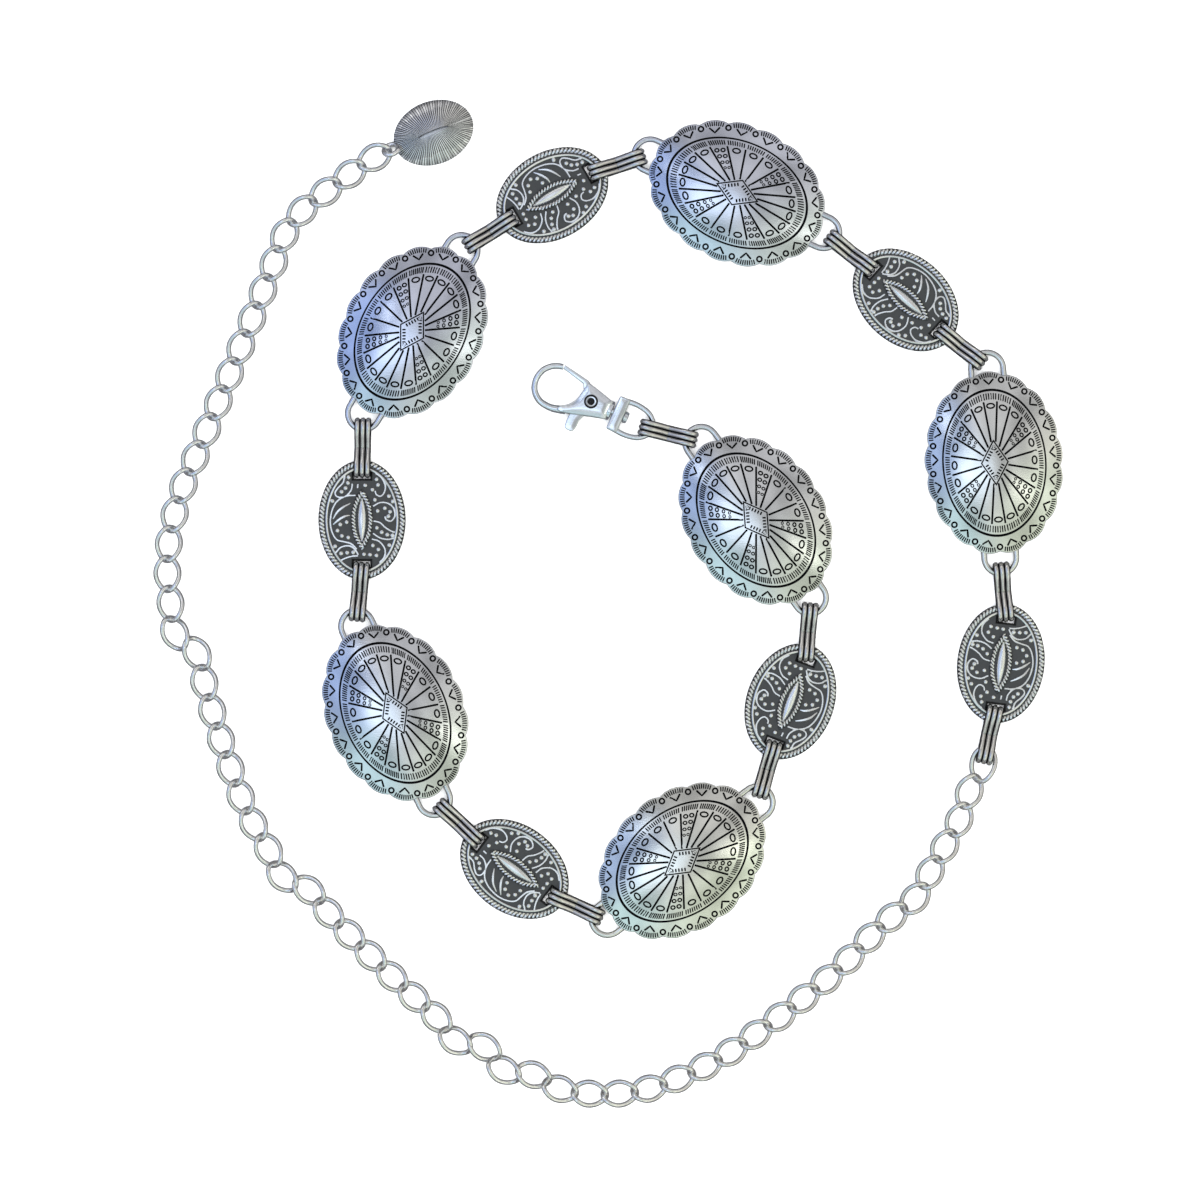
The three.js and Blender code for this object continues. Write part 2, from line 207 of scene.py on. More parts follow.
def studio_world():
    world = bpy.data.worlds.new("studio")
    bpy.context.scene.world = world
    world.use_nodes = True
    tree = world.node_tree
    where = tree.nodes.new("ShaderNodeTexCoord").outputs["Generated"]
    room = HORIZON
    for towards, reach, faded, colour in ROOM:
        facing = along(tree, where, Vector(towards).normalized())
        ends = [math.cos(math.radians(angle)) for angle in (faded, reach)]
        edge = ramp(tree, facing, *ends, kind="SMOOTHSTEP")
        room = mix_colours(tree, edge, room, (*colour, 1))
    panels = tree.nodes.new("ShaderNodeTexNoise")
    panels.inputs["Scale"].default_value = PANEL_SCALE
    panels.inputs["Detail"].default_value = 2
    tree.links.new(where, panels.inputs["Vector"])
    contrast = ramp(tree, panels.outputs[0], 0.38, 0.62, PANEL_CONTRAST)
    uneven = mix_colours(tree, 1, room, contrast, "MULTIPLY")
    tree.links.new(uneven, tree.nodes["Background"].inputs["Color"])
    return world


print("world:", studio_world().name)
bpy.context.scene.view_settings.view_transform = "Standard"

# %% [markdown]
# ## Finish groups
# Stamped silver is dipped in a blackening bath and then polished: the black stays in the hollows and
# the high places shine. Each mesh carries a number on its faces, 0 on high places and 1 in the stamping,
# and one node group mixes black and silver by it with clouds of tarnish. On the slot walls of the small
# conchos the number is both patina and painted shade, and on the sides and rolled edges of the hook's
# plates it is painted shade. A second group gives the fine rubbing marks that all handled metal has, and
# a third shifts the silver's colour from straw to blue along the belt by where each piece lies, a painted
# reflection of the room. All three are used in every finish with their own values, so the whole belt
# stays one family.


# %% Node group helper
def node_group(name, inputs, outputs):
    group = bpy.data.node_groups.new(name, "ShaderNodeTree")
    for label, kind, value in inputs:
        socket = group.interface.new_socket(label, in_out="INPUT", socket_type=kind)
        socket.default_value = value
    for label, kind in outputs:
        group.interface.new_socket(label, in_out="OUTPUT", socket_type=kind)
    enter = group.nodes.new("NodeGroupInput")
    leave = group.nodes.new("NodeGroupOutput")
    return group, enter, leave


def use_group(tree, group, values):
    node = tree.nodes.new("ShaderNodeGroup")
    node.node_tree = group
    for label, value in values.items():
        feed(tree, node.inputs[label], value)
    return node.outputs


print("node group helper is ready")


# %% Group: blackening in the hollows, and painted shade
def patina_and_shade_group():
    group, enter, leave = node_group(
        "patina_and_painted_shade",
        [
            ("Silver", "NodeSocketColor", (0.8, 0.8, 0.79, 1)),
            ("Black", "NodeSocketColor", (0.01, 0.01, 0.012, 1)),
            ("Patina and shade", "NodeSocketFloat", 0.0),
            ("Tarnish", "NodeSocketFloat", 0.25),
            ("Cloud size per metre", "NodeSocketFloat", 300.0),
            ("Polish", "NodeSocketFloat", 0.2),
        ],
        [("Colour", "NodeSocketColor"), ("Roughness", "NodeSocketFloat")],
    )
    where = group.nodes.new("ShaderNodeTexCoord")
    cloud = group.nodes.new("ShaderNodeTexNoise")
    cloud.inputs["Detail"].default_value = 4
    group.links.new(where.outputs["Object"], cloud.inputs["Vector"])
    group.links.new(enter.outputs["Cloud size per metre"], cloud.inputs["Scale"])
    dull = math_node(group, "MULTIPLY", cloud.outputs[0], enter.outputs["Tarnish"])
    covered = math_node(group, "MAXIMUM", dull, enter.outputs["Patina and shade"])
    colour = mix_colours(group, covered, enter.outputs["Silver"], enter.outputs["Black"])
    group.links.new(colour, leave.inputs["Colour"])
    rough = math_node(group, "ADD", enter.outputs["Polish"], math_node(group, "MULTIPLY", covered, 0.35))
    group.links.new(rough, leave.inputs["Roughness"])
    return group


PATINA_AND_SHADE = patina_and_shade_group()
print("group:", PATINA_AND_SHADE.name, [s.name for s in PATINA_AND_SHADE.interface.items_tree])


# %% Group: rubbing marks
def rubbing_group():
    group, enter, leave = node_group(
        "rubbing_marks",
        [("Marks per metre", "NodeSocketFloat", 900.0), ("Stretch", "NodeSocketFloat", 6.0)],
        [("Height", "NodeSocketFloat")],
    )
    where = group.nodes.new("ShaderNodeTexCoord")
    pull = group.nodes.new("ShaderNodeCombineXYZ")
    pull.inputs[0].default_value = 1
    pull.inputs[2].default_value = 1
    group.links.new(enter.outputs["Stretch"], pull.inputs[1])
    grains = []
    for turn in (0.5, 2.1):
        lay = group.nodes.new("ShaderNodeMapping")
        lay.inputs["Rotation"].default_value = (0, 0, turn)
        group.links.new(where.outputs["Object"], lay.inputs["Vector"])
        group.links.new(pull.outputs[0], lay.inputs["Scale"])
        grain = group.nodes.new("ShaderNodeTexNoise")
        grain.inputs["Detail"].default_value = 3
        group.links.new(lay.outputs[0], grain.inputs["Vector"])
        group.links.new(enter.outputs["Marks per metre"], grain.inputs["Scale"])
        grains.append(grain.outputs[0])
    total = math_node(group, "ADD", *grains)
    group.links.new(total, leave.inputs["Height"])
    return group


RUBBING = rubbing_group()
print("group:", RUBBING.name, [s.name for s in RUBBING.interface.items_tree])


# %% Group: a painted reflection that tints the silver by its place on the belt
def painted_reflection_group():
    group, enter, leave = node_group(
        "painted_reflection_tint",
        [("Straw", "NodeSocketColor", (0.9, 0.9, 0.8, 1)), ("Blue", "NodeSocketColor", (0.7, 0.75, 0.95, 1))],
        [("Colour", "NodeSocketColor")],
    )
    where = group.nodes.new("ShaderNodeTexCoord")
    # Where the piece lies on the belt sets the tint: a painted reflection, blue towards the upper left and
    # straw towards the lower right.
    share = ramp(group, along(group, where.outputs["Object"], (-0.6, 0.8, 0)), -0.06, 0.09)
    colour = mix_colours(group, share, enter.outputs["Straw"], enter.outputs["Blue"])
    group.links.new(colour, leave.inputs["Colour"])
    return group


PAINTED_REFLECTION = painted_reflection_group()
print("group:", PAINTED_REFLECTION.name, [s.name for s in PAINTED_REFLECTION.interface.items_tree])


# %% [markdown]
# ## The finishes
# One function joins the three groups to a metal shader, and a table holds what differs. Cast filigree is
# left duller than stamped sheet, and the hook is bright nickel that was never blackened.

# %% One finish made of these groups
MARKS_PER_METRE, MARKS_STRETCH, MARKS_RELIEF = 900, 6, 0.08


def silver_finish(name, straw, blue, black, polish, tarnish, cloud):
    material = bpy.data.materials.new(name)
    material.use_nodes = True
    tree = material.node_tree
    shader = tree.nodes["Principled BSDF"]
    shader.inputs["Metallic"].default_value = 1
    # Each face's share of black: patina in the stamping, and painted shade on the slot walls and the hook's
    # plate edges.
    hollow = tree.nodes.new("ShaderNodeAttribute")
    hollow.attribute_name = "hollow"
    # The silver's colour carries the painted reflection that shifts from straw to blue across the belt.
    tint = use_group(tree, PAINTED_REFLECTION, {"Straw": (*straw, 1), "Blue": (*blue, 1)})
    values = {"Silver": tint["Colour"], "Black": (*black, 1), "Patina and shade": hollow.outputs["Fac"]}
    values |= {"Tarnish": tarnish, "Cloud size per metre": cloud, "Polish": polish}
    patina_and_shade_mix = use_group(tree, PATINA_AND_SHADE, values)
    tree.links.new(patina_and_shade_mix["Colour"], shader.inputs["Base Color"])
    tree.links.new(patina_and_shade_mix["Roughness"], shader.inputs["Roughness"])
    rubbed = use_group(tree, RUBBING, {"Marks per metre": MARKS_PER_METRE, "Stretch": MARKS_STRETCH})
    bump = tree.nodes.new("ShaderNodeBump")
    bump.inputs["Strength"].default_value = MARKS_RELIEF
    bump.inputs["Distance"].default_value = 0.1 * MM
    tree.links.new(rubbed["Height"], bump.inputs["Height"])
    tree.links.new(bump.outputs[0], shader.inputs["Normal"])
    return material


BLACK, SOFT_BLACK, GROUND_GREY = (0.008, 0.008, 0.01), (0.03, 0.03, 0.032), (0.13, 0.13, 0.13)
FINISHES = [
    # name, straw tint, blue tint, black, polish, tarnish, clouds per metre
    ("stamped_silver", (0.93, 0.94, 0.87), (0.76, 0.8, 0.93), BLACK, 0.13, 0.2, 300),
    ("filigree_silver", (0.97, 0.97, 0.94), (0.94, 0.94, 0.95), GROUND_GREY, 0.25, 0.1, 500),
    ("ribbed_silver", (0.88, 0.86, 0.82), (0.84, 0.83, 0.83), BLACK, 0.15, 0.3, 450),
    ("chain_wire", (0.97, 0.96, 0.93), (0.93, 0.94, 0.96), SOFT_BLACK, 0.17, 0.12, 350),
    ("rayed_silver", (0.98, 0.98, 0.97), (0.97, 0.97, 0.99), SOFT_BLACK, 0.16, 0.08, 500),
    ("bright_nickel", (0.9, 0.93, 0.96), (0.86, 0.91, 0.97), SOFT_BLACK, 0.1, 0.1, 250),
]
STAMPED, FILIGREE, RIBBED, WIRE, RAYED, NICKEL = [silver_finish(*row) for row in FINISHES]
print("finishes:", [m.name for m in (STAMPED, FILIGREE, RIBBED, WIRE, RAYED, NICKEL)])

# %% [markdown]
# ## A way to build fine skins
# Every piece is drawn in millimetres in its own frame, x along the belt, and then laid where its solid
# lies. A collector keeps points, faces and the number for patina and painted shade of each face, so that
# a piece of many skins becomes one mesh. Some faces are given their true curved normals, which keeps a
# domed sheet smooth although the stamping cuts it into many thin triangles.


# %% The collector
class Metal:
    def __init__(self):
        self.points, self.faces, self.hollow, self.normals = [], [], [], []

    def add(self, points, faces, hollow=0.0, normals=None):
        first = len(self.points)
        self.points.extend(tuple(p) for p in points)
        self.faces.extend(tuple(first + i for i in face) for face in faces)
        self.hollow.extend([hollow] * len(faces) if np.isscalar(hollow) else hollow)
        self.normals.extend([None] * len(faces) if normals is None else normals)


def laid(place, heading):
    """The turn and the move that lay a piece of its own frame at a place and a heading."""
    c, s = math.cos(math.radians(heading)), math.sin(math.radians(heading))
    return np.array([[c, -s, 0], [s, c, 0], [0, 0, 1]]), np.array([place[0], place[1], 0.0])


def make(name, metal, finish, place, heading, nodes, body="belt", crease=38):
    turn, move = laid(place, heading)
    mesh = bpy.data.meshes.new(name)
    mesh.from_pydata((np.array(metal.points) @ turn.T + move) * MM, [], metal.faces)
    mesh.shade_smooth()
    mesh.set_sharp_from_angle(angle=math.radians(crease))
    corners = [len(face) for face in metal.faces]
    attribute = mesh.attributes.new("hollow", "FLOAT", "CORNER")
    attribute.data.foreach_set("value", np.repeat(np.array(metal.hollow, np.float32), corners))
    if any(n is not None for n in metal.normals):
        flat = []
        for face, normals in zip(metal.faces, metal.normals):
            flat.extend([(0, 0, 0)] * len(face) if normals is None else [turn @ n for n in normals])
        mesh.normals_split_custom_set([tuple(n) for n in flat])
    mesh.materials.append(finish)
    obj = bpy.data.objects.new(name, mesh)
    bpy.context.scene.collection.objects.link(obj)
    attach(obj, body)
    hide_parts(*nodes)
    return obj


print("collector:", Metal.__name__)

# %% [markdown]
# ## Skins
# Wires are tubes along a line, rims are stacks of closed lines with a grid of faces between them, and
# engraved sheets are flat triangulations. Each helper returns points and faces for the collector.


# %% Skins: a tube, a grid, and a flat sheet
def grid(rows, columns, close_rows=False, close_columns=False):
    faces = []
    for r in range(rows if close_rows else rows - 1):
        for c in range(columns if close_columns else columns - 1):
            a, b = r * columns + c, r * columns + (c + 1) % columns
            d, e = (r + 1) % rows * columns + c, (r + 1) % rows * columns + (c + 1) % columns
            faces.append((a, d, e, b))
    return faces


def flipped(faces):
    return [face[::-1] for face in faces]


def at_height(line, z):
    """A flat line of points raised to a height, or to a height for each point."""
    return np.column_stack([line, np.broadcast_to(z, len(line))])


def stacked(metal, loops, hollow=0.0, outward=True):
    """Adds a wall through closed anticlockwise lines, the lowest first. It faces out, or in for a hole."""
    faces = grid(len(loops), len(loops[0]), False, True)
    metal.add(np.concatenate(loops), flipped(faces) if outward else faces, hollow)


def tube(path, radius, sides=8, closed=False):
    path = np.array(path, float)
    ahead = np.roll(path, -1, 0) - np.roll(path, 1, 0) if closed else np.gradient(path, axis=0)
    ahead /= np.linalg.norm(ahead, axis=1, keepdims=True)
    side = np.cross(ahead, (0, 0, 1.0))
    side /= np.linalg.norm(side, axis=1, keepdims=True)
    up = np.cross(side, ahead)
    radius = np.broadcast_to(radius, len(path))[:, None, None]
    turn = np.arange(sides) * 2 * np.pi / sides
    rings = path[:, None] + radius * (
        np.cos(turn)[None, :, None] * side[:, None] + np.sin(turn)[None, :, None] * up[:, None]
    )
    faces = grid(len(path), sides, closed, True)
    if not closed:
        faces += [tuple(range(sides)), tuple(reversed(range((len(path) - 1) * sides, len(path) * sides)))]
    return rings.reshape(-1, 3), faces


def smooth_line(points, steps, closed=False):
    """A curve through points, with that many steps from each to the next."""
    p = np.array(points, float)
    n = len(p)
    curve = []
    for i in range(n if closed else n - 1):
        before = p[(i - 1) % n] if closed or i else 2 * p[0] - p[1]
        after = p[(i + 2) % n] if closed or i < n - 2 else 2 * p[-1] - p[-2]
        here, there = p[i], p[(i + 1) % n]
        for f in np.arange(steps) / steps:
            curve.append(
                0.5
                * (
                    2 * here
                    + (there - before) * f
                    + (2 * before - 5 * here + 4 * there - after) * f**2
                    + (3 * here - before - 3 * there + after) * f**3
                )
            )
    if not closed:
        curve.append(p[-1])
    return np.array(curve)


def inside(points, outline):
    x, y = np.array(points, float).T
    hit = np.zeros(len(x), bool)
    for (x0, y0), (x1, y1) in zip(outline, np.roll(outline, -1, 0)):
        crosses = (y0 > y) != (y1 > y)
        with np.errstate(divide="ignore", invalid="ignore"):
            hit ^= crosses & (x < (x1 - x0) * (y - y0) / (y1 - y0) + x0)
    return hit


def closed_edges(*lines):
    """The edges of closed lines whose points follow each other in one list."""
    edges, first = [], 0
    for line in lines:
        edges += [(first + i, first + (i + 1) % len(line)) for i in range(len(line))]
        first += len(line)
    return edges


def flat_sheet(points, edges, outline, holes=()):
    """Triangles over points with those edges kept, inside outline and outside the holes."""
    made = delaunay_2d_cdt([Vector(p) for p in points], edges, [], 0, 1e-5)
    where = np.array([tuple(v) for v in made[0]])
    faces = np.array([f for f in made[2] if len(f) == 3])
    middle = where[faces].mean(1)
    keep = inside(middle, outline)
    for hole in holes:
        keep &= ~inside(middle, hole)
    return where, faces[keep], [o[0] if o else -1 for o in made[3]]


print("a straight tube has", len(tube([(0, 0, 0), (1, 0, 0)], 0.1)[1]), "faces")

# %% [markdown]
# ## The large conchos
# A real concho starts as a flat oval of silver sheet. Its design is struck into it with small steel
# stamps, then it is domed in a hollow and its edge is filed into scallops. It is made the same way here:
# the stamp marks are drawn flat as closed outlines with a lower line inside each, all outlines are
# triangulated together with a grid of filling points, and the whole is raised to the dome's height.

# %% Sizes and the scalloped edge
LARGE = dict(a=22.9, b=17.3, lobes=17, notch=0.8, under=2.4, edge=0.8, dome=3.4, shell=0.9)


def spread_evenly(a, b, shares):
    """Angles on an ellipse at those shares of its length, counted from its -x end."""
    fine = np.linspace(0, 2 * np.pi, 4001)
    x, y = -a * np.cos(fine), -b * np.sin(fine)
    length = np.concatenate([[0], np.cumsum(np.hypot(np.diff(x), np.diff(y)))])
    return np.interp(np.mod(shares, 1) * length[-1], length, fine)


def edge_point(share, depth):
    """The point of the scalloped edge at that share of its length, moved in by depth."""
    a, b = LARGE["a"], LARGE["b"]
    t = spread_evenly(a, b, np.array(share))
    out = np.stack([-np.cos(t) / a, -np.sin(t) / b], -1)
    out /= np.linalg.norm(out, axis=-1, keepdims=True)
    in_lobe = np.abs(2 * np.mod(np.array(share) * LARGE["lobes"] + 0.5, 1) - 1)
    cut = LARGE["notch"] * in_lobe**2.2 + depth
    return np.stack([-a * np.cos(t), -b * np.sin(t)], -1) - cut[..., None] * out


EDGE_SHARES = np.arange(LARGE["lobes"] * 16) / (LARGE["lobes"] * 16)
print("scalloped edge:", len(EDGE_SHARES), "points")


print("an edge point:", edge_point(0.25, 0.0).round(2))

# %% [markdown]
# ## Stamp marks
# A silversmith has few stamps: a chisel for lines and a ring. So two functions are enough: a groove is a
# long closed outline with a lower line inside it, and a ring is three closed lines, the middle one low.

# %% Stamp marks
class Stamping:
    """Marks in a flat sheet: points, how deep each is, and the lines that join them."""

    def __init__(self):
        self.points, self.depth, self.edges = [], [], []

    def line(self, points, depth, closed=False):
        first = len(self.points)
        self.points.extend(tuple(p) for p in points)
        self.depth.extend([depth] * len(points))
        last = len(points) - 1
        self.edges.extend((first + i, first + i + 1) for i in range(last))
        if closed:
            self.edges.append((first + last, first))

    def groove(self, points, width, depth=0.2):
        """A cut with pointed ends along a line."""
        points = np.array(points, float)
        length = np.concatenate([[0], np.cumsum(np.linalg.norm(np.diff(points, axis=0), axis=1))])
        stops = np.linspace(0, length[-1], max(4, int(length[-1] / 0.7) + 2))
        taper = max(0.18 * stops[1], 0.12)
        stops[1], stops[-2] = taper, length[-1] - taper
        kept = np.unique(np.concatenate([stops, length[1:-1]]).round(3))
        kept = kept[np.concatenate([[True], np.diff(kept) > 0.08])]
        line = np.stack([np.interp(kept, length, points[:, i]) for i in (0, 1)], 1)
        ahead = np.gradient(line, axis=0)
        ahead /= np.linalg.norm(ahead, axis=1, keepdims=True)
        left = np.stack([-ahead[:, 1], ahead[:, 0]], 1) * width / 2
        inner = slice(1, -1)
        outline = [line[0], *(line + left)[inner], line[-1], *(line - left)[inner][::-1]]
        self.line(outline, 0, closed=True)
        self.line(line[inner], depth)

    def ring(self, centre, out, within, sides=10, depth=0.2, heading=0.0):
        """A round cut: out and within are the half sizes of its two edges."""
        t = np.arange(sides) * 2 * np.pi / sides
        turn = np.array([[math.cos(heading), math.sin(heading)], [-math.sin(heading), math.cos(heading)]])
        for (rx, ry), low in ((out, 0), (np.add(out, within) / 2, depth), (within, 0)):
            self.line(np.stack([rx * np.cos(t), ry * np.sin(t)], 1) @ turn + centre, low, closed=True)


INNER = (18.2, 12.8)
DIAMOND = (5.5, 3.3)


def on_inner(t, share):
    """A point on the engraved inner oval, or a share of the way out to it."""
    return np.array([INNER[0] * share * math.cos(t), INNER[1] * share * math.sin(t)])


print("an inner point:", on_inner(0.0, 0.5))

# %% [markdown]
# ## The design
# The photo shows the pattern clearly: seventeen scallops with a fan of ticks and a V each, an engraved
# oval, twenty spokes and a diamond. Loops over angles place the marks, so that a number changes a row.


# %% The design: edge, sectors and centre diamond
def border_marks(marks):
    """In each scallop a fan of ticks over a V that points inward, and a small ring between scallops."""
    lobes = LARGE["lobes"]
    for k in range(lobes):
        middle = k / lobes
        for f in np.linspace(-0.33, 0.33, 9):
            outer, inner = middle + f / lobes, middle + 0.86 * f / lobes
            marks.groove([edge_point(outer, 0.3), edge_point(inner, 1.6)], 0.34)
        arms = [edge_point(middle + f / lobes, d) for f, d in ((-0.2, 1.75), (0, 3.25), (0.2, 1.75))]
        marks.groove(arms, 0.48, 0.25)
        marks.ring(edge_point(middle + 0.5 / lobes, 1.1), (0.86, 0.86), (0.4, 0.4), 12)


def sector_marks(marks):
    """Twenty spokes from the diamond, with ticks at their outer ends and an oval or rings between."""
    for k in range(20):
        t = math.radians(18 * k)
        beside = min(k, 20 - k)
        for f in np.linspace(-0.4, 0.4, 6 if beside in (0, 1, 9, 10) else 8):
            turn = t + f * math.radians(18)
            marks.groove([on_inner(turn, 0.96), on_inner(turn, 0.865)], 0.33)
        spoke = t + math.radians(9)
        wide, tall = abs(math.cos(spoke)), abs(math.sin(spoke))
        start = 1.1 / (INNER[0] * wide / DIAMOND[0] + INNER[1] * tall / DIAMOND[1])
        marks.groove([on_inner(spoke, start), on_inner(spoke, 0.85)], 0.5)
        across = math.atan2(INNER[1] * math.cos(t), -INNER[0] * math.sin(t))
        if beside in (3, 7):
            aside = np.array([math.cos(across), math.sin(across)])
            for share, size in ((0.77, 0.72), (0.66, 0.66), (0.55, 0.56), (0.45, 0.46)):
                for side in (-1, 1):
                    at = on_inner(t, share) + side * (size + 0.05) * aside
                    marks.ring(at, (size, size * 0.86), (size * 0.44, size * 0.34), 10, heading=across)
        else:
            marks.ring(on_inner(t, 0.78), (1.18, 0.8), (0.74, 0.38), 12, heading=across)


def diamond_marks(marks):
    """The centre diamond, with short ticks inside its edges."""
    tips = np.array([(DIAMOND[0], 0), (0, DIAMOND[1]), (-DIAMOND[0], 0), (0, -DIAMOND[1])])
    for scale, low in ((1.06, 0), (1.0, 0.2), (0.94, 0)):
        corners = tips * scale
        line = [np.linspace(p, q, 9)[:-1] for p, q in zip(corners, np.roll(corners, -1, 0))]
        marks.line(np.concatenate(line), low, closed=True)
    for p, q in zip(tips, np.roll(tips, -1, 0)):
        inward = np.array([-(q - p)[1], (q - p)[0]]) / np.linalg.norm(q - p)
        for f in np.linspace(0.2, 0.8, 6):
            at = p + (q - p) * f
            marks.groove([at + 0.35 * inward, at + 1.3 * inward], 0.4)


def concho_design():
    marks = Stamping()
    border_marks(marks)
    around = np.arange(120) * 2 * np.pi / 120
    for scale, low in ((1.017, 0), (1.0, 0.2), (0.983, 0)):
        marks.line([on_inner(t, scale) for t in around], low, closed=True)
    sector_marks(marks)
    diamond_marks(marks)
    return marks


DESIGN = concho_design()
print("stamping:", len(DESIGN.points), "points,", len(DESIGN.edges), "lines")


# %% [markdown]
# ## Raising the dome
# The flat triangles are lifted to the dome's height less their depth. Faces outside the marks are given
# the dome's own normals, and the marked faces keep flat ones, so the strokes stay crisp.


# %% Raise it to a dome
def dome_height(x, y):
    share = (x / LARGE["a"]) ** 2 + (y / LARGE["b"]) ** 2
    return LARGE["under"] + LARGE["edge"] + LARGE["dome"] * (1 - share)


def dome_normal(x, y):
    n = np.array([2 * LARGE["dome"] * x / LARGE["a"] ** 2, 2 * LARGE["dome"] * y / LARGE["b"] ** 2, 1.0])
    return n / np.linalg.norm(n)


def filling_points(outline, taken, spacing, clear):
    reach = np.abs(outline).max(0)
    columns = np.arange(-reach[0], reach[0], spacing)
    x, y = np.meshgrid(columns, np.arange(-reach[1], reach[1], spacing * 0.87))
    x[1::2] += spacing / 2
    points = np.stack([x.ravel(), y.ravel()], 1)
    points = points[inside(points, outline)]
    taken = np.array(taken)
    near = np.array([np.min((taken[:, 0] - px) ** 2 + (taken[:, 1] - py) ** 2) for px, py in points])
    return points[near > clear**2]


def large_concho():
    metal = Metal()
    rim = edge_point(EDGE_SHARES, 0.18)
    marks = Stamping()
    marks.line(rim, 0, closed=True)
    first = len(marks.points)
    marks.points += DESIGN.points
    marks.depth += DESIGN.depth
    marks.edges += [(first + i, first + j) for i, j in DESIGN.edges]
    fill = filling_points(rim, marks.points, 0.95, 0.42)
    marks.points += [tuple(p) for p in fill]
    marks.depth += [0] * len(fill)
    where, faces, source = flat_sheet(marks.points, marks.edges, rim)
    depth = np.array([marks.depth[s] if s >= 0 else 0 for s in source])
    points = at_height(where, dome_height(*where.T) - depth)
    cut = depth[faces].max(1) > 0
    normals = [None if c else [dome_normal(*where[i]) for i in f] for f, c in zip(faces, cut)]
    metal.add(points, faces.tolist(), cut.astype(float), normals)
    top = dome_height(*rim.T)
    low = LARGE["under"]
    steps = [(0.2, low), (0.05, low + 0.1), (0.0, top - 0.3), (0.04, top - 0.1), (0.18, top)]
    stacked(metal, [at_height(edge_point(EDGE_SHARES, inset), z) for inset, z in steps])
    lip = edge_point(EDGE_SHARES, 0.2)
    fill = filling_points(lip, lip, 2.2, 1.2)
    flat = [tuple(p) for p in lip] + [tuple(p) for p in fill]
    where, faces, _ = flat_sheet(flat, closed_edges(lip), lip)
    back = np.maximum(dome_height(*where.T) - LARGE["shell"], low)
    metal.add(at_height(where, back), flipped(faces.tolist()), 0.25)
    return metal


concho = large_concho()
print("large concho:", len(concho.faces), "faces")

# %% [markdown]
# ## The wire loops behind each large concho
# A bent length of round wire is soldered to the back at each end, and the connector's eye turns on it.
# A tube along a half circle with two legs is all it is.

# %% Wire loops
LOOP = dict(half=4.03, reach=4.78, wire=0.725, leg=4.6, level=1.95)


def wire_loop(end):
    centre = LARGE["a"] + LOOP["reach"] - LOOP["half"]
    bend = np.linspace(-np.pi / 2, np.pi / 2, 25)
    flat = np.stack([centre + LOOP["half"] * np.cos(bend), LOOP["half"] * np.sin(bend)], 1)
    arc = at_height(flat, LOOP["level"])
    leg = np.linspace(LOOP["leg"], 0.6, 5)
    rise = LOOP["level"] + 0.25 * leg / LOOP["leg"]
    legs = [np.stack([centre - leg, np.full(5, side * LOOP["half"]), rise], 1) for side in (-1, 1)]
    path = np.concatenate([legs[0], arc, legs[1][::-1]])
    return tube(path * (end, end, 1), LOOP["wire"], 12)


for end in (1, -1):
    concho.add(*wire_loop(end))
print("with its two loops:", len(concho.faces), "faces")

# %% [markdown]
# ## Laying pieces in place
# The solid model holds the place of each piece. The middle of a node's box, taken along its own heading,
# is the point round which the fine piece was drawn, so only the headings are written here.

# %% Lay the large conchos
LARGE_HEADINGS = [-55, -142, 114, 59, 156, -86]


def centre_of(node, heading):
    """The middle of a node's box along and across its heading, and the node's points in that frame."""
    turn, _ = laid((0, 0), heading)
    points = np.array([v.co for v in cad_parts[node].data.vertices])[:, :3] / MM @ turn
    middle = (points.min(0) + points.max(0)) / 2
    return (turn @ (middle[0], middle[1], 0))[:2], points


for k, heading in enumerate(LARGE_HEADINGS, 1):
    node = f"concho_{k}"
    at, _ = centre_of(node, heading)
    make(f"large_concho_{k}", concho, STAMPED, at, heading, [node])
    print(node, "at", at.round(2))

# %% [markdown]
# ## The small conchos
# These are cast: a rope border, a smooth line inside it, and on the dark ground raised scrolls and
# beads round a long pointed boss in its own rope. Raised wire is best made of raised wire, so scrolls are
# tubes sunk halfway into the ground, beads are half balls, and the ropes are strands wound round a line.

# %% Ground, slots and boss
SMALL = dict(under=1.25, field=1.0, swell=0.2, slot_in=9.75, slot_out=12.25, slot_half=2.6, slot_slope=0.55)
FIELD, ROPE_LINE, SMOOTH_LINE = (13.6, 9.6), (14.1, 10.1), (12.85, 8.85)


def oval(a, b, count):
    t = np.arange(count) * 2 * np.pi / count
    return np.stack([a * np.cos(t), b * np.sin(t)], 1)


def pointed_oval(a, b, count):
    t = np.arange(count) * 2 * np.pi / count
    return np.stack([a * np.cos(t), b * np.sin(t) * (1 - np.abs(np.cos(t)) ** 2.6) ** 0.55], 1)


def field_height(x, y):
    return SMALL["under"] + SMALL["field"] + SMALL["swell"] * (1 - (x / 13.3) ** 2 - (y / 9.3) ** 2)


def slot_outline(end, inset=0.0):
    x0, x1, half = SMALL["slot_in"] + inset, SMALL["slot_out"] - inset, SMALL["slot_half"] - inset
    corners = [(x0, -half), (x1, -half), (x1, half), (x0, half)]
    line = np.concatenate([np.linspace(p, q, 6)[:-1] for p, q in zip(corners, corners[1:] + corners[:1])])
    return line * end


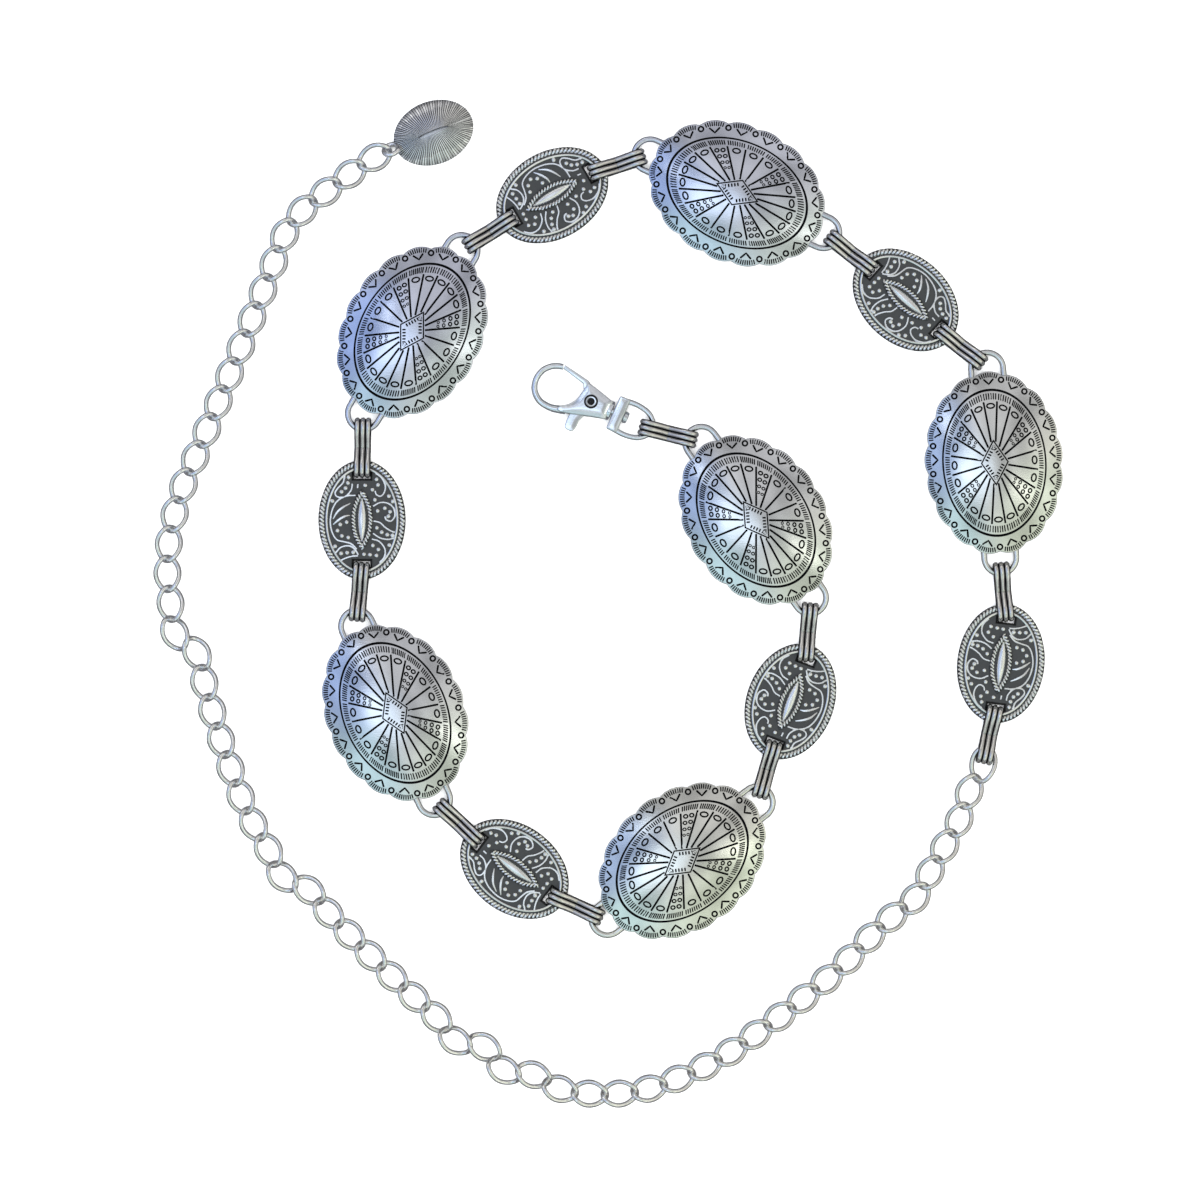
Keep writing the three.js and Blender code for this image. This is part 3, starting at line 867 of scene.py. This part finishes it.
def small_ground(metal):
    """The sheet with its two slots, whose walls slope in downward and are black, both patina like the ground
    and painted shade inside the slots, and the base of the rope.
    """
    border, slope = oval(*FIELD, 96), SMALL["slot_slope"]
    for z_of, inset, black in ((field_height, 0.0, 1.0), (lambda x, y: SMALL["under"] + 0 * x, slope, 0.3)):
        slots = [slot_outline(end, inset) for end in (1, -1)]
        points = [tuple(p) for line in (border, *slots) for p in line]
        points += [tuple(p) for p in filling_points(border, points, 1.3, 0.7)]
        where, faces, _ = flat_sheet(points, closed_edges(border, *slots), border, slots)
        faces = flipped(faces.tolist()) if inset else faces.tolist()
        metal.add(at_height(where, z_of(*where.T)), faces, black)
    for end in (1, -1):
        low, high = slot_outline(end, slope), slot_outline(end)
        walls = [at_height(low, SMALL["under"]), at_height(high, field_height(*high.T))]
        # The slot walls are black like the patina of the ground, and the black also paints the shade inside
        # the slots.
        stacked(metal, walls, 1.0, outward=False)
    base = [(0, 1.25), (0.6, 1.25), (1.15, 1.5), (1.3, 1.8), (0.9, 2.1), (-0.2, 2.3)]
    stacked(metal, [at_height(oval(FIELD[0] + wider, FIELD[1] + wider, 96), z) for wider, z in base], 1.0)


BOSS = dict(a=5.75, b=1.0, top=3.35)


def small_boss(metal):
    steps = [(1.08, 2.2), (1.03, 2.75), (0.9, 3.05), (0.66, 3.24), (0.35, 3.32)]
    loops = [at_height(pointed_oval(BOSS["a"] * share, BOSS["b"] * share, 48), z) for share, z in steps]
    stacked(metal, loops)
    metal.add(np.vstack([loops[-1], (0, 0, BOSS["top"])]), [(i, (i + 1) % 48, 48) for i in range(48)])


print("slot:", slot_outline(1).min(0).round(2), "to", slot_outline(1).max(0).round(2))

# %% [markdown]
# ## Ropes
# Rope wire is two thin wires twisted and laid in a ring. A strand is a tube whose line winds round the
# rope's own line, and the second one starts half a turn later. The lower half of each strand is black,
# which is what makes a real rope border read from far away.


# %% Ropes
def resampled(line, count):
    closed = np.vstack([line, line[:1]])
    length = np.concatenate([[0], np.cumsum(np.linalg.norm(np.diff(closed, axis=0), axis=1))])
    at = np.arange(count) * length[-1] / count
    return np.stack([np.interp(at, length, closed[:, i]) for i in (0, 1)], 1)


def rope(metal, line, level, turns, strand, per_turn=8, sides=6):
    """Two strands wound round a closed line, black where they dive."""
    count = turns * per_turn
    centre = resampled(line, count)
    ahead = np.roll(centre, -1, 0) - np.roll(centre, 1, 0)
    ahead /= np.linalg.norm(ahead, axis=1, keepdims=True)
    side = np.column_stack([ahead[:, 1], -ahead[:, 0], np.zeros(count)])
    wind = np.arange(count) * 2 * np.pi * turns / count
    for start in (0, np.pi):
        phase = wind + start
        winding = np.cos(phase)[:, None] * side + np.sin(phase)[:, None] * (0, 0, 1.0)
        path = at_height(centre, level) + strand * winding
        points, faces = tube(path, strand * 0.8, sides, closed=True)
        metal.add(points, faces, [0.0 if np.sin(phase[min(f) // sides]) > 0.0 else 1.0 for f in faces])


def small_ropes(metal):
    rope(metal, oval(*ROPE_LINE, 400), 2.1, 39, 0.46)
    rope(metal, pointed_oval(7.0, 2.15, 400), 2.65, 17, 0.36)
    metal.add(*tube(at_height(oval(*SMOOTH_LINE, 120), 2.35), 0.3, 8, closed=True))


print("outer rope:", round(float(np.pi * sum(ROPE_LINE)), 1), "mm round")

# %% [markdown]
# ## Scrolls and beads
# The scrolls are drawn as a few points each, in millimetres from the middle of the concho, and a
# smooth line is run through them. A fat middle and thin ends make a leaf of some of them.

# %% Scrolls and beads
SCROLLS = [
    [(11.0, 4.3), (9.3, 4.7), (7.9, 6.0), (6.6, 6.7), (5.7, 6.0), (5.8, 4.2), (7.4, 2.7), (9.0, 2.4)],
    [(8.9, 1.0), (7.9, 1.1)],
    [
        (6.1, 1.6), (5.9, 3.9), (4.7, 6.1), (2.5, 7.4), (-0.5, 7.9), (-3.2, 7.4), (-5.0, 6.2), (-5.5, 4.3),
        (-6.0, 2.6), (-7.3, 1.3),
    ],
    [(-8.3, 6.6), (-6.9, 5.3), (-6.5, 3.4), (-7.3, 1.8), (-8.7, 0.9)],
    [(-10.1, 5.2), (-9.5, 3.9), (-9.1, 2.4), (-9.0, 1.0)],
    [(11.6, -3.4), (10.6, -4.8), (8.6, -5.8), (6.9, -5.6), (5.9, -4.7), (6.3, -3.6), (7.2, -3.3)],
    [(3.4, -2.8), (4.3, -4.6), (4.1, -6.5), (2.9, -7.9), (1.0, -8.2), (-0.3, -7.3), (0.0, -6.1), (0.8, -5.7)],
    [(-0.3, -2.9), (-0.7, -4.5), (-1.8, -5.7), (-2.7, -7.1), (-3.1, -8.2)],
    [(-3.4, -2.8), (-4.5, -4.5), (-4.9, -6.4), (-4.6, -8.0)],
    [(-4.8, -2.5), (-5.4, -4.3), (-7.2, -5.7), (-9.2, -5.6), (-10.7, -4.4)],
]
LEAVES = [
    [(0.2, 7.2), (2.0, 6.1), (3.2, 4.6), (4.1, 2.9)],
    [(-1.2, 7.2), (0.0, 5.8), (0.9, 4.2), (1.1, 3.0)],
]
BEADS = [
    (10.6, 3.3), (9.2, 3.5), (7.9, 4.1), (7.0, 5.1), (4.7, 7.4), (-1.2, 5.4), (-0.6, 3.8), (-2.7, 6.1),
    (-4.0, 5.0), (-4.4, 3.4), (-6.6, 6.7), (-8.4, 5.2), (-8.2, 3.7), (-8.1, 2.2), (8.6, -0.8), (10.1, -3.6),
    (8.7, -4.0), (7.5, -2.6), (5.0, -3.2), (5.9, -6.7), (4.6, -7.7), (2.2, -3.9), (2.9, -5.7), (2.0, -7.0),
    (0.9, -6.6), (-2.0, -3.7), (-3.1, -4.9), (-3.7, -6.3), (-3.9, -7.6), (-6.4, -2.7), (-7.4, -4.1),
    (-8.9, -3.6), (-8.7, -2.0), (-8.6, -0.5), (-6.3, -6.8),
]


def small_scrolls(metal):
    for line in SCROLLS:
        curve = smooth_line(line, 5)
        metal.add(*tube(at_height(curve, field_height(*curve.T) + 0.08), 0.31, 6))
    for line in LEAVES:
        curve = smooth_line(line, 5)
        swell = 0.18 + 0.28 * np.sin(np.linspace(0, np.pi, len(curve)))
        metal.add(*tube(at_height(curve, field_height(*curve.T) + 0.05), swell, 6))


BEAD_STEPS, BEAD_TOP = [(0.58, 0.0), (0.52, 0.19), (0.32, 0.33)], 0.38  # radii and heights


def small_beads(metal):
    cap = [(16 + i, 16 + (i + 1) % 8, 24) for i in range(8)]
    for x, y in BEADS:
        ground = field_height(x, y)
        loops = [at_height(oval(r, r, 8) + (x, y), ground + z) for r, z in BEAD_STEPS]
        metal.add(np.vstack([*loops, (x, y, ground + BEAD_TOP)]), flipped(grid(3, 8, False, True)) + cap)


small = Metal()
small_ground(small)
small_boss(small)
small_ropes(small)
small_scrolls(small)
small_beads(small)
print("small concho:", len(small.faces), "faces")
SMALL_HEADINGS = [-111, 143, 90, 30, -42, -97]
for k, heading in enumerate(SMALL_HEADINGS, 1):
    node = f"small_concho_{k}"
    at, _ = centre_of(node, heading)
    make(f"small_oval_{k}", small, FILIGREE, at, heading, [node])

# %% [markdown]
# ## The connectors
# A strip with three ridges is folded into a flat loop and pinched in the middle, which leaves an eye at
# each end. From the side it is a closed outline, so the ridged face is a grid: the outline one way, the
# ridges the other. The grooves between the ridges are black.

# %% Connector
STRIP = dict(length=15.3, width=4.1, thick=0.9, height=4.5, waist=2.1)


def corner_cut(points, rounds=2, keep=()):
    """Cuts the corners of a closed outline, and leaves the points named in keep."""
    points = [(tuple(p), i in keep) for i, p in enumerate(points)]
    for _ in range(rounds):
        made = []
        for i, (p, kept) in enumerate(points):
            q = points[(i + 1) % len(points)][0]
            o = points[i - 1][0]
            if kept:
                made.append((p, True))
            else:
                made.append((tuple(np.array(p) * 0.75 + np.array(o) * 0.25), False))
                made.append((tuple(np.array(p) * 0.75 + np.array(q) * 0.25), False))
        points = made
    return np.array([p for p, _ in points])


def folded_outline():
    e, h = STRIP["length"] / 2, STRIP["height"]
    half = [(2.9, h - 0.6), (4.3, h), (e - 1.45, h), (e - 0.2, h - 1.2), (e, 1.5), (e - 1.4, 0)]
    return [(0, STRIP["waist"])] + half + [(-x, z) for x, z in reversed(half)]


def eye_outline(end):
    """The hole that is left inside the fold at one end."""
    e, h, t = STRIP["length"] / 2, STRIP["height"], STRIP["thick"]
    eye = [(1.3, t + 0.15), (2.2, t), (e - t - 0.6, t), (e - t, 1.6), (e - t - 0.2, h - t - 0.6)]
    eye += [(e - t - 0.85, h - t), (4.4, h - t), (3.1, h - t - 0.6)]
    return [(x * end, z) for x, z in eye[::end]]


print("strip outline:", len(corner_cut(folded_outline(), keep=(0,))), "points")


# %% Ridges across the strip
RIDGES = dict(apart=1.37, half=0.58, height=0.5)


def ridge_profile():
    """Places across the strip and how far each lies below the ridges' tops."""
    across, inset = [], []
    for centre in (-RIDGES["apart"], 0, RIDGES["apart"]):
        for u in (-1, -0.85, -0.55, 0, 0.55, 0.85, 1):
            across.append(centre + RIDGES["half"] * u)
            inset.append(RIDGES["height"] * (1 - math.sqrt(1 - (0.97 * u) ** 2)))
    edge = STRIP["width"] / 2
    return np.array([-edge, *across, edge]), np.array([RIDGES["height"], *inset, RIDGES["height"]])


def connector():
    metal = Metal()
    outline = corner_cut(folded_outline(), keep=(0,))
    ahead = np.roll(outline, -1, 0) - np.roll(outline, 1, 0)
    ahead /= np.linalg.norm(ahead, axis=1, keepdims=True)
    inward = np.stack([ahead[:, 1], -ahead[:, 0]], 1)
    across, inset = ridge_profile()
    rows = []
    for place, into in zip(outline, inward):
        moved = place + inset[:, None] * into
        rows.append(np.column_stack([moved[:, 0], across, moved[:, 1]]))
    faces = grid(len(rows), len(across), True, False)
    deep = [inset[f[0] % len(across)] + inset[f[3] % len(across)] for f in faces]
    metal.add(np.concatenate(rows), faces, [min(1.0, max(0.0, (d - 0.15) / 0.4)) for d in deep])
    connector_sides(metal, outline + RIDGES["height"] * inward)
    return metal


def connector_sides(metal, edge):
    """The two flat sides, each with two eyes, and the walls of the eyes."""
    half = STRIP["width"] / 2
    eyes = [corner_cut(eye_outline(end)) for end in (1, -1)]
    for eye in eyes:
        walls = [np.column_stack([eye[:, 0], np.full(len(eye), y), eye[:, 1]]) for y in (half, -half)]
        stacked(metal, walls, 0.7, outward=False)
    points = [tuple(p) for line in (edge, *eyes) for p in line]
    where, faces, _ = flat_sheet(points, closed_edges(edge, *eyes), edge, eyes)
    for y, side in ((-half, faces.tolist()), (half, flipped(faces.tolist()))):
        metal.add(np.column_stack([where[:, 0], np.full(len(where), y), where[:, 1]]), side, 0.5)


strip = connector()
print("connector:", len(strip.faces), "faces")
STRIP_HEADINGS = [-14, -95, -106, 156, 137, 85, 89, 32, 18, -38, -38, -85, -102]
for k, heading in enumerate(STRIP_HEADINGS, 1):
    node = f"connector_{k}"
    at, _ = centre_of(node, heading)
    make(f"folded_strip_{k}", strip, RIBBED, at, heading, [node])

# %% [markdown]
# ## The chain
# The links of a curb chain are twisted so that each lies flat on its neighbours. One link is a round
# wire bent to an oval whose two ends stand at right angles. The chain is walked link by link from the last
# connector: a short table says which way it heads and which links jog aside.

# %% Chain
LINK = dict(a=4.27, b=2.96, wire=0.6, pitch=7.49, twist=45)
CHAIN_LEVEL = LINK["wire"] + 0.455 * LINK["b"]
LINKS = 59
CHAIN_HEADINGS = {
    0: -117, 4: -120, 5: -141, 7: -134, 9: -141, 12: -145, 15: -161, 18: -189,
    20: -203, 24: -222, 28: -226, 32: -240, 34: -250, 38: -256, 41: -264, 43: -281,
    45: -293, 49: -292, 53: -291, 55: -321, 57: -326,
}
JOGS = {1: 8, 19: -12, 20: 14, 21: -22, 22: 20, 23: -14, 30: 26, 31: -6, 39: 36}
LAST_STRIP, DROP_HEADING = STRIP_HEADINGS[-1], 22
EYE_REACH = 4.215  # from the connector's end in to the first link's far end


def unit(heading):
    return np.array([math.cos(math.radians(heading)), math.sin(math.radians(heading))])


def twisted_link(twist_in=-LINK["twist"], lift=0.0):
    """A closed wire whose two ends are turned apart about its length. The lift raises its first end."""
    t = np.arange(32) * 2 * np.pi / 32 + np.pi / 32
    x = LINK["a"] * np.cos(t)
    y = LINK["b"] * np.sign(np.sin(t)) * np.abs(np.sin(t)) ** 0.85
    along = (x / LINK["a"] + 1) / 2
    turn = np.radians(twist_in + (LINK["twist"] - twist_in) * along)
    path = np.stack([x, y * np.cos(turn), CHAIN_LEVEL + y * np.sin(turn) + lift * (1 - along)], 1)
    return tube(path, LINK["wire"], 10, closed=True)


def walk_chain():
    metal = Metal()
    bearing = np.interp(range(LINKS), list(CHAIN_HEADINGS), list(CHAIN_HEADINGS.values()))
    for link, turn in JOGS.items():
        bearing[link] += turn
    at, _ = centre_of("connector_13", LAST_STRIP)
    spot = at + unit(LAST_STRIP) * (STRIP["length"] / 2 - EYE_REACH + LINK["a"])
    for i in range(LINKS):
        into = bearing[i - 1] if i else LAST_STRIP
        out = bearing[i] if i < LINKS - 1 else DROP_HEADING
        heading = into + ((out - into + 180) % 360 - 180) / 2 if i else into
        points, faces = twisted_link() if i else twisted_link(-12, 0.5)
        turn, move = laid(spot, heading)
        metal.add(points @ turn.T + move, faces)
        spot = spot + unit(out) * LINK["pitch"]
    return metal


chain = walk_chain()
make("twisted_chain", chain, WIRE, (0, 0), 0, ["chain"])
print("chain:", len(chain.faces), "faces")

# %% [markdown]
# ## The end drop
# A small domed oval with fine rays engraved from a short ridge in its middle out to its edge. The rays
# are a grid that fans out from the ridge: every third column of points is cut a little lower.

# %% End drop
DROP = dict(a=10.25, b=7.85, under=0.4, edge=1.2, dome=2.4, ring=1.9, wire=0.6)


RAYS = dict(count=90, rows=14, deep=0.18)
DROP_SIDES = 88


def drop_top(metal):
    """The domed top: each ray is three columns of faces, one black in its groove."""
    columns = 3 * RAYS["count"]
    t = np.arange(columns) * 2 * np.pi / columns
    ridge = np.stack([0.36 * DROP["a"] * np.cos(t), 0.02 * np.sin(t)], 1)
    edge = oval(DROP["a"], DROP["b"], columns)
    loops = []
    for rho in np.linspace(0.06, 1, RAYS["rows"]):
        flat = ridge + (edge - ridge) * rho
        share = (flat[:, 0] / DROP["a"]) ** 2 + (flat[:, 1] / DROP["b"]) ** 2
        height = DROP["under"] + DROP["edge"] + DROP["dome"] * np.maximum(1 - share, 0) ** 0.9
        height[::3] -= RAYS["deep"] * min(1, rho / 0.2)
        loops.append(at_height(flat, height))
    faces = grid(RAYS["rows"], columns, False, True)
    dark = []
    for face in faces:
        row, column = divmod(min(face), columns)
        uneven = math.sin(column * 12.9) ** 2
        dark.append(0.9 if column % 3 == 2 else (0.15 + 0.5 * uneven) * (row / RAYS["rows"]) ** 1.5)
    metal.add(np.concatenate(loops), faces, dark)


def drop_back(metal):
    low = DROP["under"]
    steps = [(0.5, 1.6), (0.9, 0.45), (0.97, low), (0.995, low + 0.2), (1.0, low + 0.9), (1.0, 1.6)]
    loops = [at_height(oval(DROP["a"] * share, DROP["b"] * share, DROP_SIDES), z) for share, z in steps]
    stacked(metal, loops, 0.2)
    fan = [(i, DROP_SIDES, (i + 1) % DROP_SIDES) for i in range(DROP_SIDES)]
    metal.add(np.vstack([loops[0], (0, 0, 1.9)]), fan, 0.3)


def drop_ring(metal):
    t = np.arange(32) * 2 * np.pi / 32
    tilt = math.radians(-LINK["twist"])
    y = DROP["ring"] * np.sin(t)
    x = -DROP["a"] - DROP["ring"] + 0.75 + DROP["ring"] * np.cos(t)
    hoop = np.stack([x, y * math.cos(tilt), CHAIN_LEVEL + 0.15 + y * math.sin(tilt)], 1)
    metal.add(*tube(hoop, DROP["wire"], 10, closed=True))


drop = Metal()
drop_top(drop)
drop_back(drop)
drop_ring(drop)
_, corners = centre_of("end_drop", DROP_HEADING)
drop_centre = (corners[:, 0].max() - DROP["a"], corners[:, 1].min() + DROP["b"], 0)
drop_centre = laid((0, 0), DROP_HEADING)[0] @ drop_centre
make("rayed_drop", drop, RAYED, drop_centre[:2], DROP_HEADING, ["end_drop"], crease=80)
print("drop at", drop_centre.round(2))

# %% [markdown]
# ## The snap hook
# A cast hook body with a turning post, a D-shaped eye that the post turns in, and a lever that closes
# the mouth. Cast parts have soft edges, so each plate is drawn with its edge rolled over in small steps.

# %% Plates with rolled edges
PIN_LEVEL = 1.95


def shrunk(outline, by):
    ahead = np.roll(outline, -1, 0) - np.roll(outline, 1, 0)
    ahead /= np.linalg.norm(ahead, axis=1, keepdims=True)
    return outline + by * np.stack([-ahead[:, 1], ahead[:, 0]], 1)


def rolled_plate(metal, outline, low, high, roll=0.35, crown=0.0):
    """A plate whose outline runs anticlockwise, with its two edges rolled over and its top crowned."""
    n = len(outline)
    steps = [(roll, low), (roll * 0.3, low + roll * 0.3), (0, low + roll)]
    steps += [(0, high - roll), (roll * 0.3, high - roll * 0.3), (roll, high)]
    # Painted shade: the sides and rolled edges of the plate are darker than its flat top and bottom, darkest
    # just below the top edge.
    edge_shade = np.repeat([0.0, 0.4, 0.6, 0.75, 0.2], n).tolist()
    stacked(metal, [at_height(shrunk(outline, inset), z) for inset, z in steps], edge_shade)
    rim = shrunk(outline, roll)
    dense = resampled(rim, 200)
    fill = filling_points(rim, dense, 0.5, 0.3)
    where, faces, _ = flat_sheet([tuple(p) for p in np.vstack([rim, fill])], closed_edges(rim), rim)
    inset = np.array([np.min(np.linalg.norm(dense - p, axis=1)) for p in where])
    swell = crown * (1 - (1 - np.minimum(inset / 1.8, 1)) ** 2)
    metal.add(at_height(where, low), flipped(faces.tolist()))
    metal.add(at_height(where, high + swell), faces.tolist())


def turned_bar(metal, stations, sides=24, rz=1.0):
    """A bar turned about the post's line: stations are places along it and the radius there."""
    t = np.arange(sides) * 2 * np.pi / sides
    y, z = np.cos(t), rz * np.sin(t)
    loops = [np.column_stack([np.full(sides, x), r * y, PIN_LEVEL + r * z]) for x, r in stations]
    stacked(metal, loops)
    metal.add(loops[0], [tuple(reversed(range(sides)))])
    metal.add(loops[-1], [tuple(range(sides))])


# %% Hook body
PIVOT = (7.5, -0.1)


def round_step(metal, rings, hollow=0.0):
    """A turned shape round the rivet's line, from places out from it and heights."""
    stacked(metal, [at_height(oval(r, r, 32) + PIVOT, z) for r, z in rings], hollow)


def hook_body():
    metal = Metal()
    cheek = [
        (2.4, -2.3), (5.0, -3.0), (9.5, -4.2), (10.1, -3.8), (10.4, -1.9), (11.0, 0.9),
        (12.5, 3.0), (14.6, 4.2), (14.4, 5.7), (9.5, 4.4), (5.5, 3.2), (2.4, 2.4),
    ]
    outline = corner_cut(cheek, 2, keep=(0, 11))
    rolled_plate(metal, outline, 0, 1.15, 0.25)
    rolled_plate(metal, outline, 2.75, 3.6, 0.3, crown=0.3)
    rolled_plate(metal, corner_cut([(2.5, -2.1), (4.4, -2.5), (4.4, 2.6), (2.5, 2.1)], 2), 0.6, 3.3, 0.2)
    rolled_plate(metal, corner_cut([(11.8, 2.6), (14.1, 4.2), (13.5, 5.3), (11.8, 4.8)], 2), 0.6, 3.3, 0.2)
    claw = [
        (12.6, 4.4), (14.4, 5.0), (16.4, 5.35), (19.1, 5.0), (21.1, 3.6), (22.1, 1.8),
        (22.3, -0.3), (21.7, -2.4), (20.3, -4.0), (18.9, -4.8), (17.4, -5.25),
    ]
    path = at_height(smooth_line(claw, 6), PIN_LEVEL)
    metal.add(*tube(path, np.interp(np.arange(len(path)), [0, 14, 30, 60], [1.1, 0.85, 0.75, 0.75]), 16))
    turned_bar(metal, [(1.8, 2.1), (1.9, 2.45), (2.3, 2.5), (2.7, 2.45), (2.8, 2.2)], rz=1.9 / 2.45)
    turned_bar(metal, [(-1.6, 0.8), (2.2, 0.8)])
    turned_bar(metal, [(-2.6, 1.0), (-2.5, 1.4), (-1.6, 1.5), (-1.45, 1.3)])
    round_step(metal, [(1.78, 3.8), (1.76, 3.98), (1.55, 3.99), (1.4, 3.95)], 1.0)
    round_step(metal, [(1.42, 3.9), (1.36, 4.1), (1.2, 4.22), (0.95, 4.2), (0.82, 4.05)])
    round_step(metal, [(0.82, 4.05), (0.74, 3.94), (0.3, 3.93), (0.02, 3.93)], 1.0)
    round_step(metal, [(0.9, 0.6), (0.9, 3.75)])
    return metal


HOOK_HEADING = 156
STRAP_HALF = 1.15  # half the thickness of the solid eye's strap, which the hook is placed by
_, corners = centre_of("swivel_eye", HOOK_HEADING)
low, high = corners.min(0), corners.max(0)
hook_at = laid((0, 0), HOOK_HEADING)[0] @ (high[0] - STRAP_HALF, (low[1] + high[1]) / 2, 0)
hook_at = hook_at[:2]
make("cast_hook", hook_body(), NICKEL, hook_at, HOOK_HEADING, ["hook_body"], body="hook")
print("hook at", hook_at.round(3))


# %% [markdown]
# ## Lever and swivel eye
# The lever turns on the rivet between the two cheeks: its thin bar closes the mouth and its pad stands
# out for the thumb. The eye's strap is a block that the post turns in, and its bow is a bent wire.


# %% Lever and swivel eye
def lever():
    metal = Metal()
    outline = [
        (5.3, -0.6), (6.4, -2.2), (9.2, -4.0), (10.2, -4.65), (17.1, -5.85), (17.2, -4.85),
        (11.1, -3.45), (9.9, -1.2), (9.6, 0.8), (11.2, 3.9), (11.2, 7.9), (10.7, 8.7),
        (8.9, 8.7), (8.4, 7.9), (8.3, 4.6), (6.2, 1.9), (5.4, 0.8),
    ]
    outline = corner_cut(outline, 1, keep=(3, 4, 5, 6))
    rolled_plate(metal, outline, PIN_LEVEL - 0.5, PIN_LEVEL + 0.5, 0.2, crown=0.12)
    return metal


def swivel_eye():
    metal = Metal()
    below = [(-1.4, -4.1), (-1.2, -4.45), (1.2, -4.45), (1.4, -4.1)]
    strap = np.array(below + [(-x, -y) for x, y in below])
    rolled_plate(metal, strap, 0.35, 3.4, 0.3, crown=0.15)
    arm = [(-0.4, 3.85), (-2.2, 4.05), (-4.2, 4.0), (-6.5, 3.5), (-8.1, 2.4), (-9.0, 1.0)]
    bow = smooth_line(arm + [(x, -y) for x, y in reversed(arm)], 6)
    metal.add(*tube(at_height(bow, PIN_LEVEL), 0.66, 12))
    return metal


gate = make("lever_gate", lever(), NICKEL, hook_at, HOOK_HEADING, ["gate"], body="gate")
bow = make("swivel_bow", swivel_eye(), NICKEL, hook_at, HOOK_HEADING, ["swivel_eye"])
print("made:", gate.name, bow.name)
